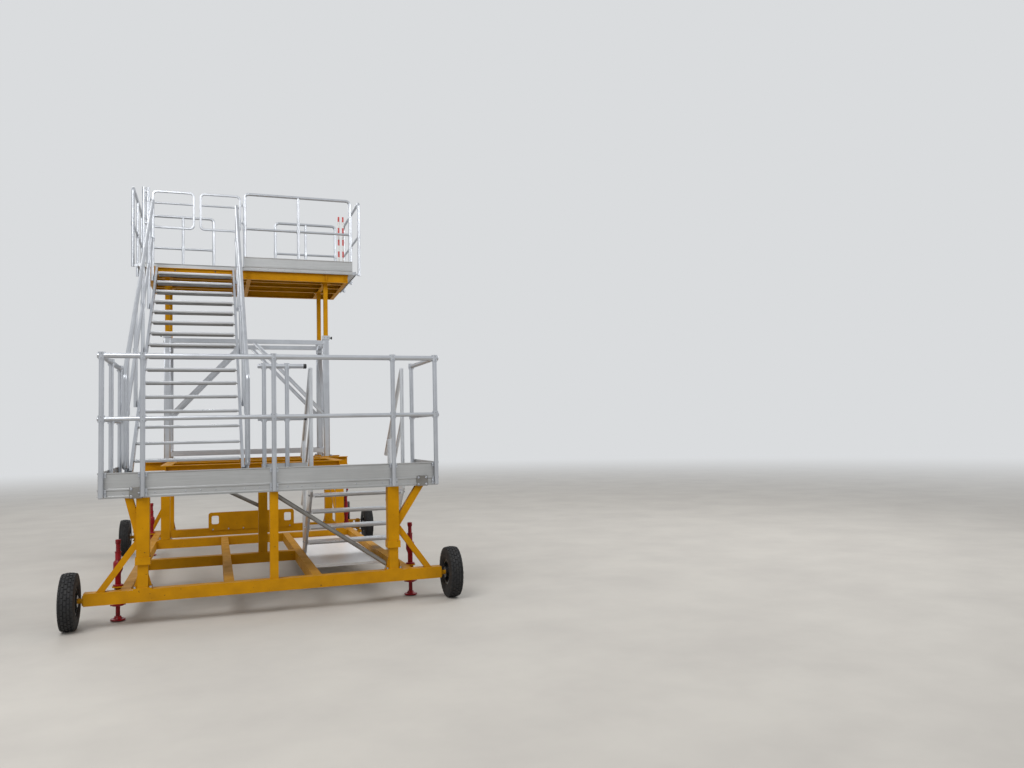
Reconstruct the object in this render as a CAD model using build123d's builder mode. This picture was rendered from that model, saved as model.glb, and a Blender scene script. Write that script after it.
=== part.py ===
"""Variable height access platform on wheels: a wheeled steel chassis with a low platform in front,
a braced tower behind it, and a raised platform reached by a stair whose treads stay level.

Frame: X runs along the axles, Y from the front axle towards the tower, Z up from the floor.
Sizes are in millimetres and are measured from the floor midway between the front wheels. Each
finished piece is then moved along Y, so that the origin lies on the floor below the whole's middle.
"""
from build123d import *
import os
from math import atan2, cos, degrees, hypot

os.makedirs("parts", exist_ok=True)

# Running gear
track = 3150
wheelbase = 4500
tyre_diameter = 460
tyre_width = 125
rim_diameter = 204
rim_width = 92
rim_flange = 12
flange_thick = 8
hub_diameter = 96
spindle_diameter = 40
running_gap = 0.05
seat_gap = 0.3

# Chassis tubes; each room is measured inward from the wheels' middle planes
beam = 100
beam_top = 290
hub_room = 105
king_room = 135
rail_room = 405
king_overhang = 70
rail_width = 80
inner_rail_x = 365
column_setback = 1090
middle_cross_y = 1740

# Supports between the chassis and the two levels
column = 100
column_inner = 80
column_x = 1035
collar_z = 500
collar_height = 50
foot_margin = 20
foot_plate = 12
gusset_rise = 110
gusset_thick = 10
middle_column = 70
middle_post = 90
brace = 50
strut = 60
strut_low_z = 680
brace_top_z = 700
brace_foot_room = 75

# Low platform
deck_z = 1100
deck_thick = 5
deck_frame = 60
joist = 40
deck_left = -1365
deck_right = 1450
deck_front = -50
deck_rear = 940
stair_deck_rear = 1400
joist_x = 700
toe_height = 145
toe_thick = 4
toe_drop = 54
toe_bead = 10
tube = 44
post = 40
thin_tube = 36
fitting = 54
fitting_height = 58
bracket = 8
bracket_width = 70
rail_bend = 60
guard_height = 1095
mid_guard = 580
rear_guard_left = -50
rear_guard_post = 190
side_post_y = 600

# Low landing and the steps from it
landing_z = 225
landing_front = 1000
landing_end_gap = 20
landing_edge = 25
landing_thick = 5
landing_gap = 5
ledge = 10
ledge_width = 40
step_count = 4
step_inset = 7
step_overhang = 150
step_depth = 190
step_thick = 30
step_band = 150
step_cheek = 25
step_head = 70
outrigger_setback = 700
outrigger_width = 140

# Tower
base_beam = 120
base_web = 10
base_top = 1180
base_half = 1400
tower_reach = 650
tower_depth = 850
tower_x = 1100
leg = 80
leg_top = 2990
leg_plate = 160
leg_plate_thick = 12
clamp_wall = 12
clamp_height = 60
knob = 46
inner_leg = 60
inner_leg_overlap = 1000
tower_beam = 60
tower_diagonal = 50
diagonal_foot_z = 1780

# Raised platform
upper_z = 3955
upper_overhang = 150
upper_depth = 1650
upper_left = -1425
upper_right = 1480
upper_inset = 60
upper_nose = 15
upper_beam = 120
upper_beam_width = 60
upper_beam_web = 8
upper_deck_frame = 50
upper_guard = 1070
upper_mid_guard = 560
rear_opening = 480
gate_left_post = -1345
gate_right_post = -60
gate_tube = 30
gate_rise = 500
gate_height = 540
gate_bar = 360
gate_hinge = 140
slider_depth = 40
slider_height = 48
slider_wall = 4
guard_offset = 66

# Stair
stair_x = -722
tread_half = 475
tread_depth = 225
tread_thick = 30
tread_skin = 5
tread_wall = 6
tread_boss = 30
tread_rib = 15
groove = 5
groove_depth = 1.5
tread_count = 16
tread_pin = 20
pin_end = 6
first_tread_z = 1315
first_nosing = 1200
stringer = 90
stringer_width = 28
stringer_web = 8
stringer_lip = 6
stringer_gap = 16
stair_rail_offset = 545
stair_rail_rise = 1050
stair_mid_rise = 560
pivot_diameter = 24
roller_diameter = 80
roller_width = 22
roller_pin = 16

# Values worked out from those above
wheel_z = tyre_diameter / 2
wheel_x = track / 2
beam_bottom = beam_top - beam
front_beam_half = wheel_x - hub_room
king_x = wheel_x - king_room
rear_beam_half = king_x - king_overhang
outer_rail_x = wheel_x - rail_room
column_cross_y = wheelbase - column_setback
deck_under = deck_z - deck_thick
deck_frame_low = deck_under - deck_frame
guard_top = deck_z + guard_height
landing_rear = column_cross_y - beam / 2 - landing_end_gap
step_left = inner_rail_x + rail_width / 2 + step_inset
step_right = outer_rail_x + rail_width / 2 + step_overhang
tower_front_y = wheelbase + tower_reach
tower_rear_y = tower_front_y + tower_depth
base_front = column_cross_y - base_beam / 2
base_under = base_top - base_beam
upper_front = tower_front_y - upper_overhang
upper_rear = upper_front + upper_depth
frame_top = upper_z - deck_thick - upper_deck_frame
frame_bottom = frame_top - upper_beam
stringer_inner = tread_half + stringer_gap
stringer_outer = stringer_inner + stringer_width
riser = (upper_z - first_tread_z) / tread_count
going = (upper_front - 40 - first_nosing) / tread_count
stair_slope = riser / going
pitch = atan2(riser, going)
first_pin_y = first_nosing + tread_depth / 2
first_pin_z = first_tread_z - tread_thick / 2


def line_z(y):
    """Height of the line through the treads' pivots."""
    return first_pin_z + stair_slope * (y - first_pin_y)


def line_y(z):
    """Position along the stair of the line through the treads' pivots."""
    return first_pin_y + (z - first_pin_z) / stair_slope


middle_y = (upper_rear - wheel_z) / 2
foot_z = deck_z + roller_diameter / 2 + seat_gap
foot_y = line_y(foot_z)
pivot_y = upper_front - 60
pivot_z = line_z(pivot_y)


def block(low, high, mode=Mode.ADD):
    """A rectangular bar or plate between two opposite corners."""
    with Locations(tuple((a + b) / 2 for a, b in zip(low, high))):
        Box(*[abs(b - a) for a, b in zip(low, high)], mode=mode)


def round_bar(start, end, diameter, mode=Mode.ADD):
    """A round tube or bar between two points."""
    run = Vector(*end) - Vector(*start)
    with BuildSketch(Plane(origin=start, z_dir=run)) as section:
        Circle(diameter / 2)
    extrude(section.sketch, amount=run.length, mode=mode)


def square_bar(start, end, width):
    """A square tube between two points, with one pair of its faces upright."""
    run = Vector(*end) - Vector(*start)
    level = Vector(0, 0, 1).cross(run)
    with BuildSketch(Plane(origin=start, x_dir=level, z_dir=run)) as section:
        Rectangle(width, width)
    extrude(section.sketch, amount=run.length)


def uprights(places, z0, z1, diameter):
    """Round posts or collars of one height at a list of places."""
    with Locations(*[(x, y, (z0 + z1) / 2) for x, y in places]):
        Cylinder(diameter / 2, z1 - z0)


def bent_tube(points, bend, diameter):
    """A tube along a line of points, with a bend at each corner."""
    with BuildLine() as path:
        FilletPolyline(*points, radius=bend)
    start = path.line @ 0
    with BuildSketch(Plane(origin=start, z_dir=path.line % 0)) as section:
        Circle(diameter / 2)
    sweep(section.sketch, path=path.line)


def x_beam(x0, x1, y0, y1, z0, z1, web):
    """An I-beam along X."""
    middle = (y0 + y1) / 2
    block((x0, y0, z0), (x1, y1, z0 + web))
    block((x0, y0, z1 - web), (x1, y1, z1))
    block((x0, middle - web / 2, z0), (x1, middle + web / 2, z1))


def y_beam(x0, x1, y0, y1, z0, z1, web):
    """An I-beam along Y."""
    middle = (x0 + x1) / 2
    block((x0, y0, z0), (x1, y1, z0 + web))
    block((x0, y0, z1 - web), (x1, y1, z1))
    block((middle - web / 2, y0, z0), (middle + web / 2, y1, z1))


def gusset(x, y, z, run, rise):
    """A triangular plate that stands on z against an upright face at x."""
    with BuildSketch(Plane.XZ.offset(-y - gusset_thick / 2)) as web:
        with BuildLine():
            Polyline((x, z), (x + run, z), (x, z + rise), close=True)
        make_face()
    extrude(web.sketch, amount=gusset_thick)


def toe_board(start, end):
    """A rolled toe board along a deck's edge, with its beads on the right of the run."""
    run = Vector(*end) - Vector(*start)
    outward = run.cross(Vector(0, 0, 1))
    with BuildSketch(Plane(origin=start, x_dir=outward, z_dir=-run)) as section:
        with BuildLine():
            Polyline((0, -toe_drop), (toe_bead, -toe_drop), (toe_bead, 6 - toe_drop), (toe_thick, 12 - toe_drop),
                     (toe_thick, -6), (toe_bead, 0), (toe_bead, 10), (toe_thick, 16),
                     (toe_thick, toe_height - 14), (toe_bead, toe_height - 8), (toe_bead, toe_height),
                     (0, toe_height), close=True)
        make_face()
    extrude(section.sketch, amount=-run.length)


def ribbed_tread(x0, x1, y, z, depth, thick):
    """An extruded tread from x0 to x1: grooved top, turned-down nose and heel, and end plates."""
    with BuildSketch(Plane.YZ.offset(x0)) as section:
        with Locations((y + depth / 2, z - thick / 2)):
            Rectangle(depth, thick)
        fillet(section.vertices().group_by(Axis.Y)[-1], 4)
        room = (depth - tread_boss) / 2 - tread_wall
        for middle in (y + tread_wall + room / 2, y + depth - tread_wall - room / 2):
            with Locations((middle, z - tread_skin - thick / 2)):
                Rectangle(room, thick, mode=Mode.SUBTRACT)
        with Locations((y + depth / 2, z)):
            with GridLocations(tread_rib, 1, int((depth - 30) / tread_rib), 1):
                Rectangle(groove, 2 * groove_depth, mode=Mode.SUBTRACT)
    extrude(section.sketch, amount=x1 - x0)
    for x in (x0, x1 - tread_wall):
        block((x, y, z - thick), (x + tread_wall, y + depth, z - 4))


def finish(part, name):
    """Moves a finished piece into the part's frame, labels it and writes it."""
    piece = Pos(0, -middle_y, 0) * part
    piece.label = name
    export_step(piece, f"parts/{name}.step")


# Chassis frame: axle beams, rails, cross members, ledges, jack brackets and the front spindles
rail_front = beam / 2
rail_rear = wheelbase - beam / 2
spindle_end = wheel_x + 58
lug_thick = 12
lug_radius = 45
king_pin = 30
outrigger_y = landing_front + outrigger_setback
jack_x = outer_rail_x + rail_width / 2 + 35
jack_offset = 240
jack_tube = 58
jack_plate = 12
jack_rows = (("fl", -1, jack_offset), ("fr", 1, jack_offset),
             ("rl", -1, wheelbase - jack_offset), ("rr", 1, wheelbase - jack_offset))
with BuildPart() as chassis_frame:
    block((-front_beam_half, -beam / 2, beam_bottom), (front_beam_half, beam / 2, beam_top))
    block((-rear_beam_half, rail_rear, beam_bottom), (rear_beam_half, rail_rear + beam, beam_top))
    for x, y_end in ((-outer_rail_x, rail_rear), (outer_rail_x, rail_rear),
                     (-inner_rail_x, column_cross_y), (inner_rail_x, column_cross_y)):
        block((x - rail_width / 2, rail_front, beam_bottom), (x + rail_width / 2, y_end, beam_top))
    for x_end, y in ((outer_rail_x, column_cross_y), (inner_rail_x, middle_cross_y)):
        block((-outer_rail_x, y - beam / 2, beam_bottom), (x_end, y + beam / 2, beam_top))
    # Ledges that carry the landing plate, and the outrigger for the steps' outer cheek
    for x, side in ((inner_rail_x, 1), (outer_rail_x, -1)):
        inner = x + side * rail_width / 2
        block((inner, landing_front + 50, beam_bottom), (inner + side * ledge_width, landing_rear - 50, beam_bottom + ledge))
    block((outer_rail_x + rail_width / 2, outrigger_y - outrigger_width / 2, beam_bottom),
          (step_right + 10, outrigger_y + outrigger_width / 2, landing_z))
    # A pair of bored plates holds each jack beside its rail
    for _, side, y in jack_rows:
        for z in (beam_bottom + 10, beam_top - jack_plate):
            block((side * (outer_rail_x + rail_width / 2), y - 45, z), (side * jack_x, y + 45, z + jack_plate))
            with Locations((side * jack_x, y, z + jack_plate / 2)):
                Cylinder(45, jack_plate)
                Cylinder(jack_tube / 2 + seat_gap, jack_plate, mode=Mode.SUBTRACT)
    for side in (-1, 1):
        round_bar((side * front_beam_half, 0, wheel_z), (side * spindle_end, 0, wheel_z), spindle_diameter)
        round_bar((side * front_beam_half, 0, wheel_z), (side * (front_beam_half + 12), 0, wheel_z), 80)
    # Lugs above and below the rear beam's ends hold the king pins
    for z in (beam_top, beam_bottom - lug_thick):
        for side in (-1, 1):
            block((side * (rear_beam_half - 60), wheelbase - lug_radius, z),
                  (side * king_x, wheelbase + lug_radius, z + lug_thick))
            with Locations((side * king_x, wheelbase, z + lug_thick / 2)):
                Cylinder(lug_radius, lug_thick)
                Cylinder(king_pin / 2 + running_gap, lug_thick, mode=Mode.SUBTRACT)
finish(chassis_frame.part, "chassis_frame")

# Front supports: telescoping columns with collars and gusseted feet, a middle post, struts and braces
foot = column / 2 + foot_margin
gusset_z = beam_top + foot_plate
strut_rows = ((-1, 1157), (1, 1323))
with BuildPart() as front_supports:
    for side, strut_top in strut_rows:
        x = side * column_x
        block((x - column_inner / 2, -column_inner / 2, beam_top),
              (x + column_inner / 2, column_inner / 2, collar_z))
        block((x - column / 2, -column / 2, collar_z), (x + column / 2, column / 2, deck_frame_low))
        collar = column / 2 + 8
        block((x - collar, -collar, collar_z - 10), (x + collar, collar, collar_z + collar_height))
        block((x - foot, -beam / 2, beam_top), (x + foot, beam / 2, gusset_z))
        for out in (-1, 1):
            gusset(x + out * column_inner / 2, 0, gusset_z, out * (foot - column_inner / 2), gusset_rise)
        square_bar((x + side * 20, 0, strut_low_z), (side * strut_top, 0, deck_frame_low + strut), strut)
        foot_x = side * (front_beam_half - brace_foot_room)
        square_bar((x + side * 20, 0, brace_top_z), (foot_x, 0, beam_top - strut), brace)
    block((-middle_column / 2, -middle_column / 2, beam_top),
          (middle_column / 2, middle_column / 2, deck_frame_low))
    # The slanted bars are cut level at the beam and at the deck
    block((-wheel_x, -column, 0), (wheel_x, column, beam_top), mode=Mode.SUBTRACT)
    block((-wheel_x, -column, deck_frame_low), (wheel_x, column, guard_top), mode=Mode.SUBTRACT)
finish(front_supports.part, "front_supports")

# Rear supports: four columns, a post under the low deck, side diagonals, knee and outward braces
with BuildPart() as rear_supports:
    for side in (-1, 1):
        x = side * column_x
        for y in (column_cross_y, wheelbase):
            block((x - column / 2, y - column / 2, beam_top), (x + column / 2, y + column / 2, base_under))
            block((x - foot, y - beam / 2, beam_top), (x + foot, y + beam / 2, gusset_z))
            gusset(x - side * column / 2, y, gusset_z, -side * foot_margin, gusset_rise)
        square_bar((x, column_cross_y, beam_top + 60), (x, wheelbase, base_under - 60), brace)
        square_bar((x, wheelbase + 20, beam_top + 180), (x, tower_front_y, base_under + 60), brace)
        foot_x = side * (rear_beam_half - brace_foot_room)
        square_bar((x + side * 20, wheelbase, brace_top_z), (foot_x, wheelbase, beam_top - strut), brace)
    half = middle_post / 2
    block((-half, middle_cross_y - half, beam_top), (half, middle_cross_y + half, deck_frame_low))
    block((-wheel_x, 0, 0), (wheel_x, tower_rear_y, beam_top), mode=Mode.SUBTRACT)
    block((-wheel_x, base_front - column, base_under), (wheel_x, tower_rear_y, leg_top), mode=Mode.SUBTRACT)
finish(rear_supports.part, "rear_supports")

# Tower base: two long beams carried by the rear columns, with cross beams under the tower's legs
with BuildPart() as tower_base:
    half = base_beam / 2
    for side in (-1, 1):
        x = side * column_x
        y_beam(x - half, x + half, base_front, tower_rear_y + leg_plate / 2, base_under, base_top, base_web)
    for y, reach in ((column_cross_y, column_x), (wheelbase, column_x), (tower_front_y, base_half),
                     (tower_rear_y, base_half)):
        x_beam(-reach, reach, y - half, y + half, base_under, base_top, base_web)
    for side in (-1, 1):
        for y in (tower_front_y, tower_rear_y):
            x = side * tower_x
            block((x - leg_plate / 2, y - leg_plate / 2, base_top),
                  (x + leg_plate / 2, y + leg_plate / 2, base_top + leg_plate_thick))
finish(tower_base.part, "tower_base")

# Tower: four hollow legs with clamp collars, level beams, diagonals in front, behind and at the sides
leg_bottom = base_top + leg_plate_thick
leg_bore = inner_leg + 2 * seat_gap
clamp = leg / 2 + clamp_wall
tower_top_z = leg_top - 100
tower_low_z = leg_bottom + 90
with BuildPart() as tower_frame:
    for y in (tower_front_y, tower_rear_y):
        for z in (tower_top_z, tower_low_z):
            block((-tower_x, y - tower_beam / 2, z - tower_beam / 2),
                  (tower_x, y + tower_beam / 2, z + tower_beam / 2))
        for side in (-1, 1):
            square_bar((side * tower_beam, y, tower_top_z), (side * tower_x, y, diagonal_foot_z), tower_diagonal)
    for side in (-1, 1):
        x = side * tower_x
        for z in (tower_top_z, tower_low_z):
            block((x - tower_beam / 2, tower_front_y, z - tower_beam / 2),
                  (x + tower_beam / 2, tower_rear_y, z + tower_beam / 2))
        square_bar((x, tower_front_y, tower_low_z + tower_beam), (x, tower_rear_y, tower_top_z - tower_beam),
                   tower_diagonal)
        for y in (tower_front_y, tower_rear_y):
            block((x - leg / 2, y - leg / 2, leg_bottom), (x + leg / 2, y + leg / 2, leg_top))
            block((x - clamp, y - clamp, leg_top - clamp_height), (x + clamp, y + clamp, leg_top))
    for x in (-tower_x, tower_x):
        for y in (tower_front_y, tower_rear_y):
            block((x - leg_bore / 2, y - leg_bore / 2, leg_bottom + 60),
                  (x + leg_bore / 2, y + leg_bore / 2, leg_top + 10), mode=Mode.SUBTRACT)
finish(tower_frame.part, "tower_frame")

# Knobbed screws that clamp the telescoping legs
with BuildPart() as clamp_knobs:
    for side in (-1, 1):
        for y in (tower_front_y, tower_rear_y):
            x = side * (tower_x + clamp)
            z = leg_top - clamp_height / 2
            round_bar((x, y, z), (x + side * 34, y, z), 14)
            round_bar((x + side * 6, y, z), (x + side * 12, y, z), 26)
            round_bar((x + side * 22, y, z), (x + side * 42, y, z), knob)
finish(clamp_knobs.part, "clamp_knobs")

# Low deck: plate, frame, joists and the bearer to the middle post, with its rolled toe boards
with BuildPart() as lower_deck:
    block((deck_left, deck_front, deck_under), (deck_right, deck_rear, deck_z))
    block((deck_left, deck_rear, deck_under), (rear_guard_left, stair_deck_rear, deck_z))
    for x0, x1, y0, y1 in (
        (deck_left, deck_right, deck_front, deck_front + column),
        (deck_left, deck_left + joist, deck_front, stair_deck_rear),
        (deck_right - joist, deck_right, deck_front, deck_rear),
        (rear_guard_left, deck_right, deck_rear - joist, deck_rear),
        (deck_left, rear_guard_left, stair_deck_rear - joist, stair_deck_rear),
        (rear_guard_left - joist, rear_guard_left, deck_front, stair_deck_rear),
        (-joist_x - joist / 2, -joist_x + joist / 2, deck_front, stair_deck_rear),
        (joist_x - joist / 2, joist_x + joist / 2, deck_front, deck_rear),
        (-middle_post / 2, middle_post / 2, deck_front, middle_cross_y + middle_post / 2),
    ):
        block((x0, y0, deck_frame_low), (x1, y1, deck_under))
    toe_board((deck_left - toe_thick, deck_front, deck_z), (deck_right + toe_thick, deck_front, deck_z))
    toe_board((deck_right, deck_front, deck_z), (deck_right, deck_rear, deck_z))
    toe_board((deck_left, stair_deck_rear, deck_z), (deck_left, deck_front, deck_z))
    toe_board((step_left - 30, deck_rear, deck_z), (rear_guard_left, deck_rear, deck_z))
finish(lower_deck.part, "lower_deck")

# Low guard rails: posts bracketed to the front toe board or standing on the deck, with clamp fittings
inset = tube / 2 + 2
left_x, right_x = deck_left + inset, deck_right - inset
front_face = deck_front - toe_bead
front_y = front_face - bracket - post / 2
rear_y, left_rear_y = deck_rear - inset, stair_deck_rear - inset - post
rear_rail_start = rear_guard_left + inset
front_posts = (left_x, -column_x, 0, column_x, right_x)
standing_posts = ((left_x, side_post_y), (left_x, left_rear_y), (right_x, rear_y - post), (rear_rail_start, rear_y),
                  (rear_guard_post, rear_y))
with BuildPart() as lower_guard:
    for z, width in ((guard_top, tube), (deck_z + mid_guard, thin_tube)):
        round_bar((left_x - fitting / 2, front_y, z), (right_x + fitting / 2, front_y, z), width)
        round_bar((left_x, front_y, z), (left_x, left_rear_y + fitting, z), width)
        round_bar((right_x, front_y, z), (right_x, rear_y, z), width)
        round_bar((rear_rail_start - fitting, rear_y, z), (step_left - 40, rear_y, z), width)
        uprights([(x, front_y) for x in front_posts] + list(standing_posts), z - fitting_height / 2,
                 z + fitting_height / 2, fitting)
    uprights([(x, front_y) for x in front_posts], deck_z - toe_drop, guard_top, post)
    uprights(standing_posts, deck_z, guard_top, post)
    for x in front_posts:
        for z0, z1 in ((-toe_drop, 10), (toe_height - 40, toe_height)):
            left_edge = max(x - bracket_width / 2, deck_left)
            right_edge = min(x + bracket_width / 2, deck_right)
            block((left_edge, front_face - bracket, deck_z + z0), (right_edge, front_face, deck_z + z1))
            block((x - post / 2, front_face - bracket - post / 2, deck_z + z0),
                  (x + post / 2, front_face - bracket, deck_z + z1))
finish(lower_guard.part, "lower_guard")

# Landing plate between the rails, with folded edges
landing_left = inner_rail_x + rail_width / 2 + landing_gap
landing_right = outer_rail_x - rail_width / 2 - landing_gap
with BuildPart() as landing_plate:
    block((landing_left, landing_front, landing_z - landing_thick), (landing_right, landing_rear, landing_z))
    for x in (landing_left, landing_right - landing_thick):
        block((x, landing_front, landing_z - landing_edge), (x + landing_thick, landing_rear, landing_z))
    for y in (landing_front, landing_rear - landing_thick):
        block((landing_left, y, landing_z - landing_edge), (landing_right, y + landing_thick, landing_z))
finish(landing_plate.part, "landing_plate")

# Steps from the landing up to the low platform, with their handrails
step_riser = (deck_z - landing_z) / (step_count + 1)
step_top_y = deck_rear + toe_bead + 1
step_foot_y = outrigger_y - 40
step_slope = (deck_z - step_band - landing_z) / (step_foot_y - step_top_y)
step_going = step_riser / step_slope
with BuildPart() as access_steps:
    for x in (step_left, step_right - step_cheek):
        with BuildSketch(Plane.YZ.offset(x)) as cheek:
            with BuildLine():
                Polyline((step_top_y, deck_z - 10), (step_top_y + step_head, deck_z - 10),
                         (step_top_y + step_head + (deck_z - 10 - landing_z) / step_slope, landing_z),
                         (step_foot_y, landing_z), (step_top_y, deck_z - step_band), close=True)
            make_face()
        extrude(cheek.sketch, amount=step_cheek)
    for i in range(step_count):
        ribbed_tread(step_left + step_cheek, step_right - step_cheek, step_top_y + step_going * i,
                     deck_z - step_riser * (i + 1), step_depth, step_thick)
    head_y, head_z = step_top_y + 30, deck_z + guard_height - 20
    low_y = step_foot_y + 200
    for x in (step_left + step_cheek / 2, step_right - step_cheek / 2):
        for rise, width in ((0, tube), (guard_height - mid_guard, thin_tube)):
            round_bar((x, head_y, head_z - rise), (x, low_y, head_z - rise - (low_y - head_y) * step_slope), width)
        for y in (head_y, step_foot_y + 20):
            round_bar((x, y, deck_z - 60 - (y - step_top_y) * step_slope),
                      (x, y, head_z - (y - head_y) * step_slope), post)
finish(access_steps.part, "access_steps")

# Aluminium braces below the low deck
brace_tube = 38
brace_z = deck_frame_low - brace_tube / 2 - 1
brace_x = -480
with BuildPart() as deck_braces:
    round_bar((0, 0, brace_z), (column_x, 0, beam_top + 10), brace_tube)
    round_bar((brace_x, middle_cross_y, brace_z), (0, middle_cross_y, 760), brace_tube)
    round_bar((brace_x, middle_cross_y, brace_z), (brace_x, stair_deck_rear - 20, brace_z), brace_tube)
    block((-column, -column, 0), (middle_column / 2 + seat_gap, column, deck_z), mode=Mode.SUBTRACT)
    block((column_x - foot - seat_gap, -column, 0), (column_x + column, column, deck_z), mode=Mode.SUBTRACT)
    block((-middle_post / 2 - seat_gap, middle_cross_y - column, 0), (column, middle_cross_y + column, deck_z),
          mode=Mode.SUBTRACT)
finish(deck_braces.part, "deck_braces")

# Rounded plate on the rear beam
plate_z = (beam_top - 30, 500)
plate_width = 1110
plate_window_x = 470
with BuildPart() as rear_plate:
    with BuildSketch(Plane.XZ.offset(-rail_rear)) as outline:
        with Locations((0, (plate_z[0] + plate_z[1]) / 2)):
            RectangleRounded(plate_width, plate_z[1] - plate_z[0], 35)
        with Locations((-plate_window_x, 400), (plate_window_x, 400)):
            RectangleRounded(90, 110, 20, mode=Mode.SUBTRACT)
    extrude(outline.sketch, amount=12)
finish(rear_plate.part, "rear_plate")

# Screw jacks in the brackets beside the outer rails, just inside each axle
jack_top = 620
jack_bottom = 165
jack_screw = 36
jack_foot = 120
jack_foot_z = 8
with BuildPart() as jack_tubes:
    for _, side, y in jack_rows:
        x = side * jack_x
        for radius, z0, z1 in ((jack_tube / 2, jack_bottom, jack_top), (38, 430, 490), (40, beam_top, beam_top + 14),
                               (30, jack_bottom - 25, jack_bottom)):
            uprights(((x, y),), z0, z1, 2 * radius)
        block((x - 55, y - 12, jack_bottom - 25), (x + 55, y + 12, jack_bottom))
    for _, side, y in jack_rows:
        with Locations((side * jack_x, y, (jack_top + jack_bottom) / 2)):
            Cylinder(jack_screw / 2 + running_gap, jack_top, mode=Mode.SUBTRACT)
finish(jack_tubes.part, "jack_tubes")

screw_top = jack_top + 90
for name, side, y in jack_rows:
    with BuildPart() as screw:
        for diameter, z0, z1 in ((jack_screw, jack_foot_z, screw_top), (jack_foot, jack_foot_z, jack_foot_z + 12),
                                 (56, jack_foot_z + 12, jack_foot_z + 36), (28, screw_top, screw_top + 25)):
            uprights(((side * jack_x, y),), z0, z1, diameter)
    finish(screw.part, f"jack_screw_{name}")

# Hand pump on its bracket behind the rear beam, with its rigid pipe into the column
pump_x, pump_y = wheel_x - 275, wheelbase + beam / 2 + 90
tank_x = pump_x - 15
tank_height = 260
pipe_z = beam_top + tank_height + 25
with BuildPart() as hand_pump:
    block((pump_x - 90, wheelbase + beam / 2, beam_top - 12), (pump_x + 60, pump_y + 90, beam_top))
    block((pump_x - 90, wheelbase + beam / 2, beam_top - 80), (pump_x - 80, pump_y + 60, beam_top))
    with Locations((tank_x, pump_y, beam_top + tank_height / 2)):
        tank = Cylinder(70, tank_height)
    fillet(tank.edges().filter_by(GeomType.CIRCLE).sort_by(Axis.Z)[-1], 18)
    uprights(((tank_x, pump_y),), beam_top + tank_height, beam_top + tank_height + 50, 52)
    round_bar((tank_x - 45, pump_y, beam_top + tank_height - 30), (tank_x - 45, pump_y, beam_top + 370), 22)
    round_bar((tank_x, pump_y, beam_top + tank_height + 40), (tank_x + 35, pump_y, beam_top + 420), 20)
    pipe_x = column_x + column / 2 - 10
    bent_tube(((tank_x, pump_y, pipe_z), (pipe_x, pump_y, pipe_z),
               (pipe_x, wheelbase + column / 2 + seat_gap, pipe_z)), 30, 14)
finish(hand_pump.part, "hand_pump")

# Wheels: pressed rims on hubs, and pneumatic tyres
for name, side, y in (("fl", -1, 0), ("fr", 1, 0), ("rl", -1, wheelbase), ("rr", 1, wheelbase)):
    axis_plane = Plane(origin=(side * wheel_x, y, wheel_z), x_dir=(side, 0, 0), z_dir=(0, -side, 0))
    spin = Axis((0, y, wheel_z), (1, 0, 0))
    bore = spindle_diameter / 2 + running_gap
    half = rim_width / 2
    rim_r = rim_diameter / 2
    hub_r = hub_diameter / 2
    lip_r = rim_r + rim_flange
    bed = half - flange_thick
    with BuildPart() as rim:
        with BuildSketch(axis_plane) as profile:
            with BuildLine():
                Polyline((-60, bore), (52, bore), (52, hub_r), (12, hub_r), (6, rim_r - 14), (half, rim_r - 14),
                         (half, lip_r), (bed, lip_r), (bed, rim_r), (-bed, rim_r), (-bed, lip_r), (-half, lip_r),
                         (-half, rim_r - 8), (-4, rim_r - 14), (-4, hub_r), (-60, hub_r), close=True)
            make_face()
        revolve(profile.sketch, spin)
    finish(rim.part, f"rim_{name}")
    bead = bed - seat_gap
    lip = lip_r + seat_gap
    w = tyre_width / 2
    crown = (w - 16, wheel_z - 9)
    with BuildPart() as tyre:
        with BuildSketch(axis_plane) as profile:
            with BuildLine():
                Polyline((-half - 4, lip + 4), (-bead, lip), (-bead, rim_r + seat_gap), (bead, rim_r + seat_gap),
                         (bead, lip), (half + 4, lip + 4))
                ThreePointArc((half + 4, lip + 4), (w, wheel_z - 62), crown)
                ThreePointArc(crown, (0, wheel_z), (-crown[0], crown[1]))
                ThreePointArc((-crown[0], crown[1]), (-w, wheel_z - 62), (-half - 4, lip + 4))
            make_face()
        revolve(profile.sketch, spin)
    finish(tyre.part, f"tyre_{name}")

# Steered rear knuckles with arms, and the tie rod between them
arm_length = 150
arm_top = beam_bottom - lug_thick - 4
arm_thick = 14
steer_pin = 16
rod_eye = 26
rod_slack = 1.4
tow_eye_bore = 25
tow_eye_thick = 16
tow_eye_reach = 60
rod_z = arm_top - arm_thick - seat_gap - rod_eye / 2
rod_y = wheelbase - arm_length
king_top = beam_top + lug_thick + 10
pin_low = rod_z - rod_eye / 2 - seat_gap - 8
for name, side in (("rl", -1), ("rr", 1)):
    x = side * king_x
    with BuildPart() as knuckle:
        block((x - 32, wheelbase - 32, beam_bottom + 0.5), (x + 32, wheelbase + 32, beam_top - 0.5))
        uprights(((x, wheelbase),), arm_top - arm_thick, king_top, king_pin)
        uprights(((x, wheelbase),), king_top - 8, king_top, king_pin + 16)
        round_bar((x + side * 30, wheelbase, wheel_z), (side * spindle_end, wheelbase, wheel_z), spindle_diameter)
        uprights(((x, wheelbase), (x, rod_y)), arm_top - arm_thick, arm_top, 48)
        block((x - 18, rod_y, arm_top - arm_thick), (x + 18, wheelbase, arm_top))
        uprights(((x, rod_y),), pin_low, arm_top, steer_pin)
        uprights(((x, rod_y),), pin_low, pin_low + 8, steer_pin + 16)
    finish(knuckle.part, f"knuckle_{name}")

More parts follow.
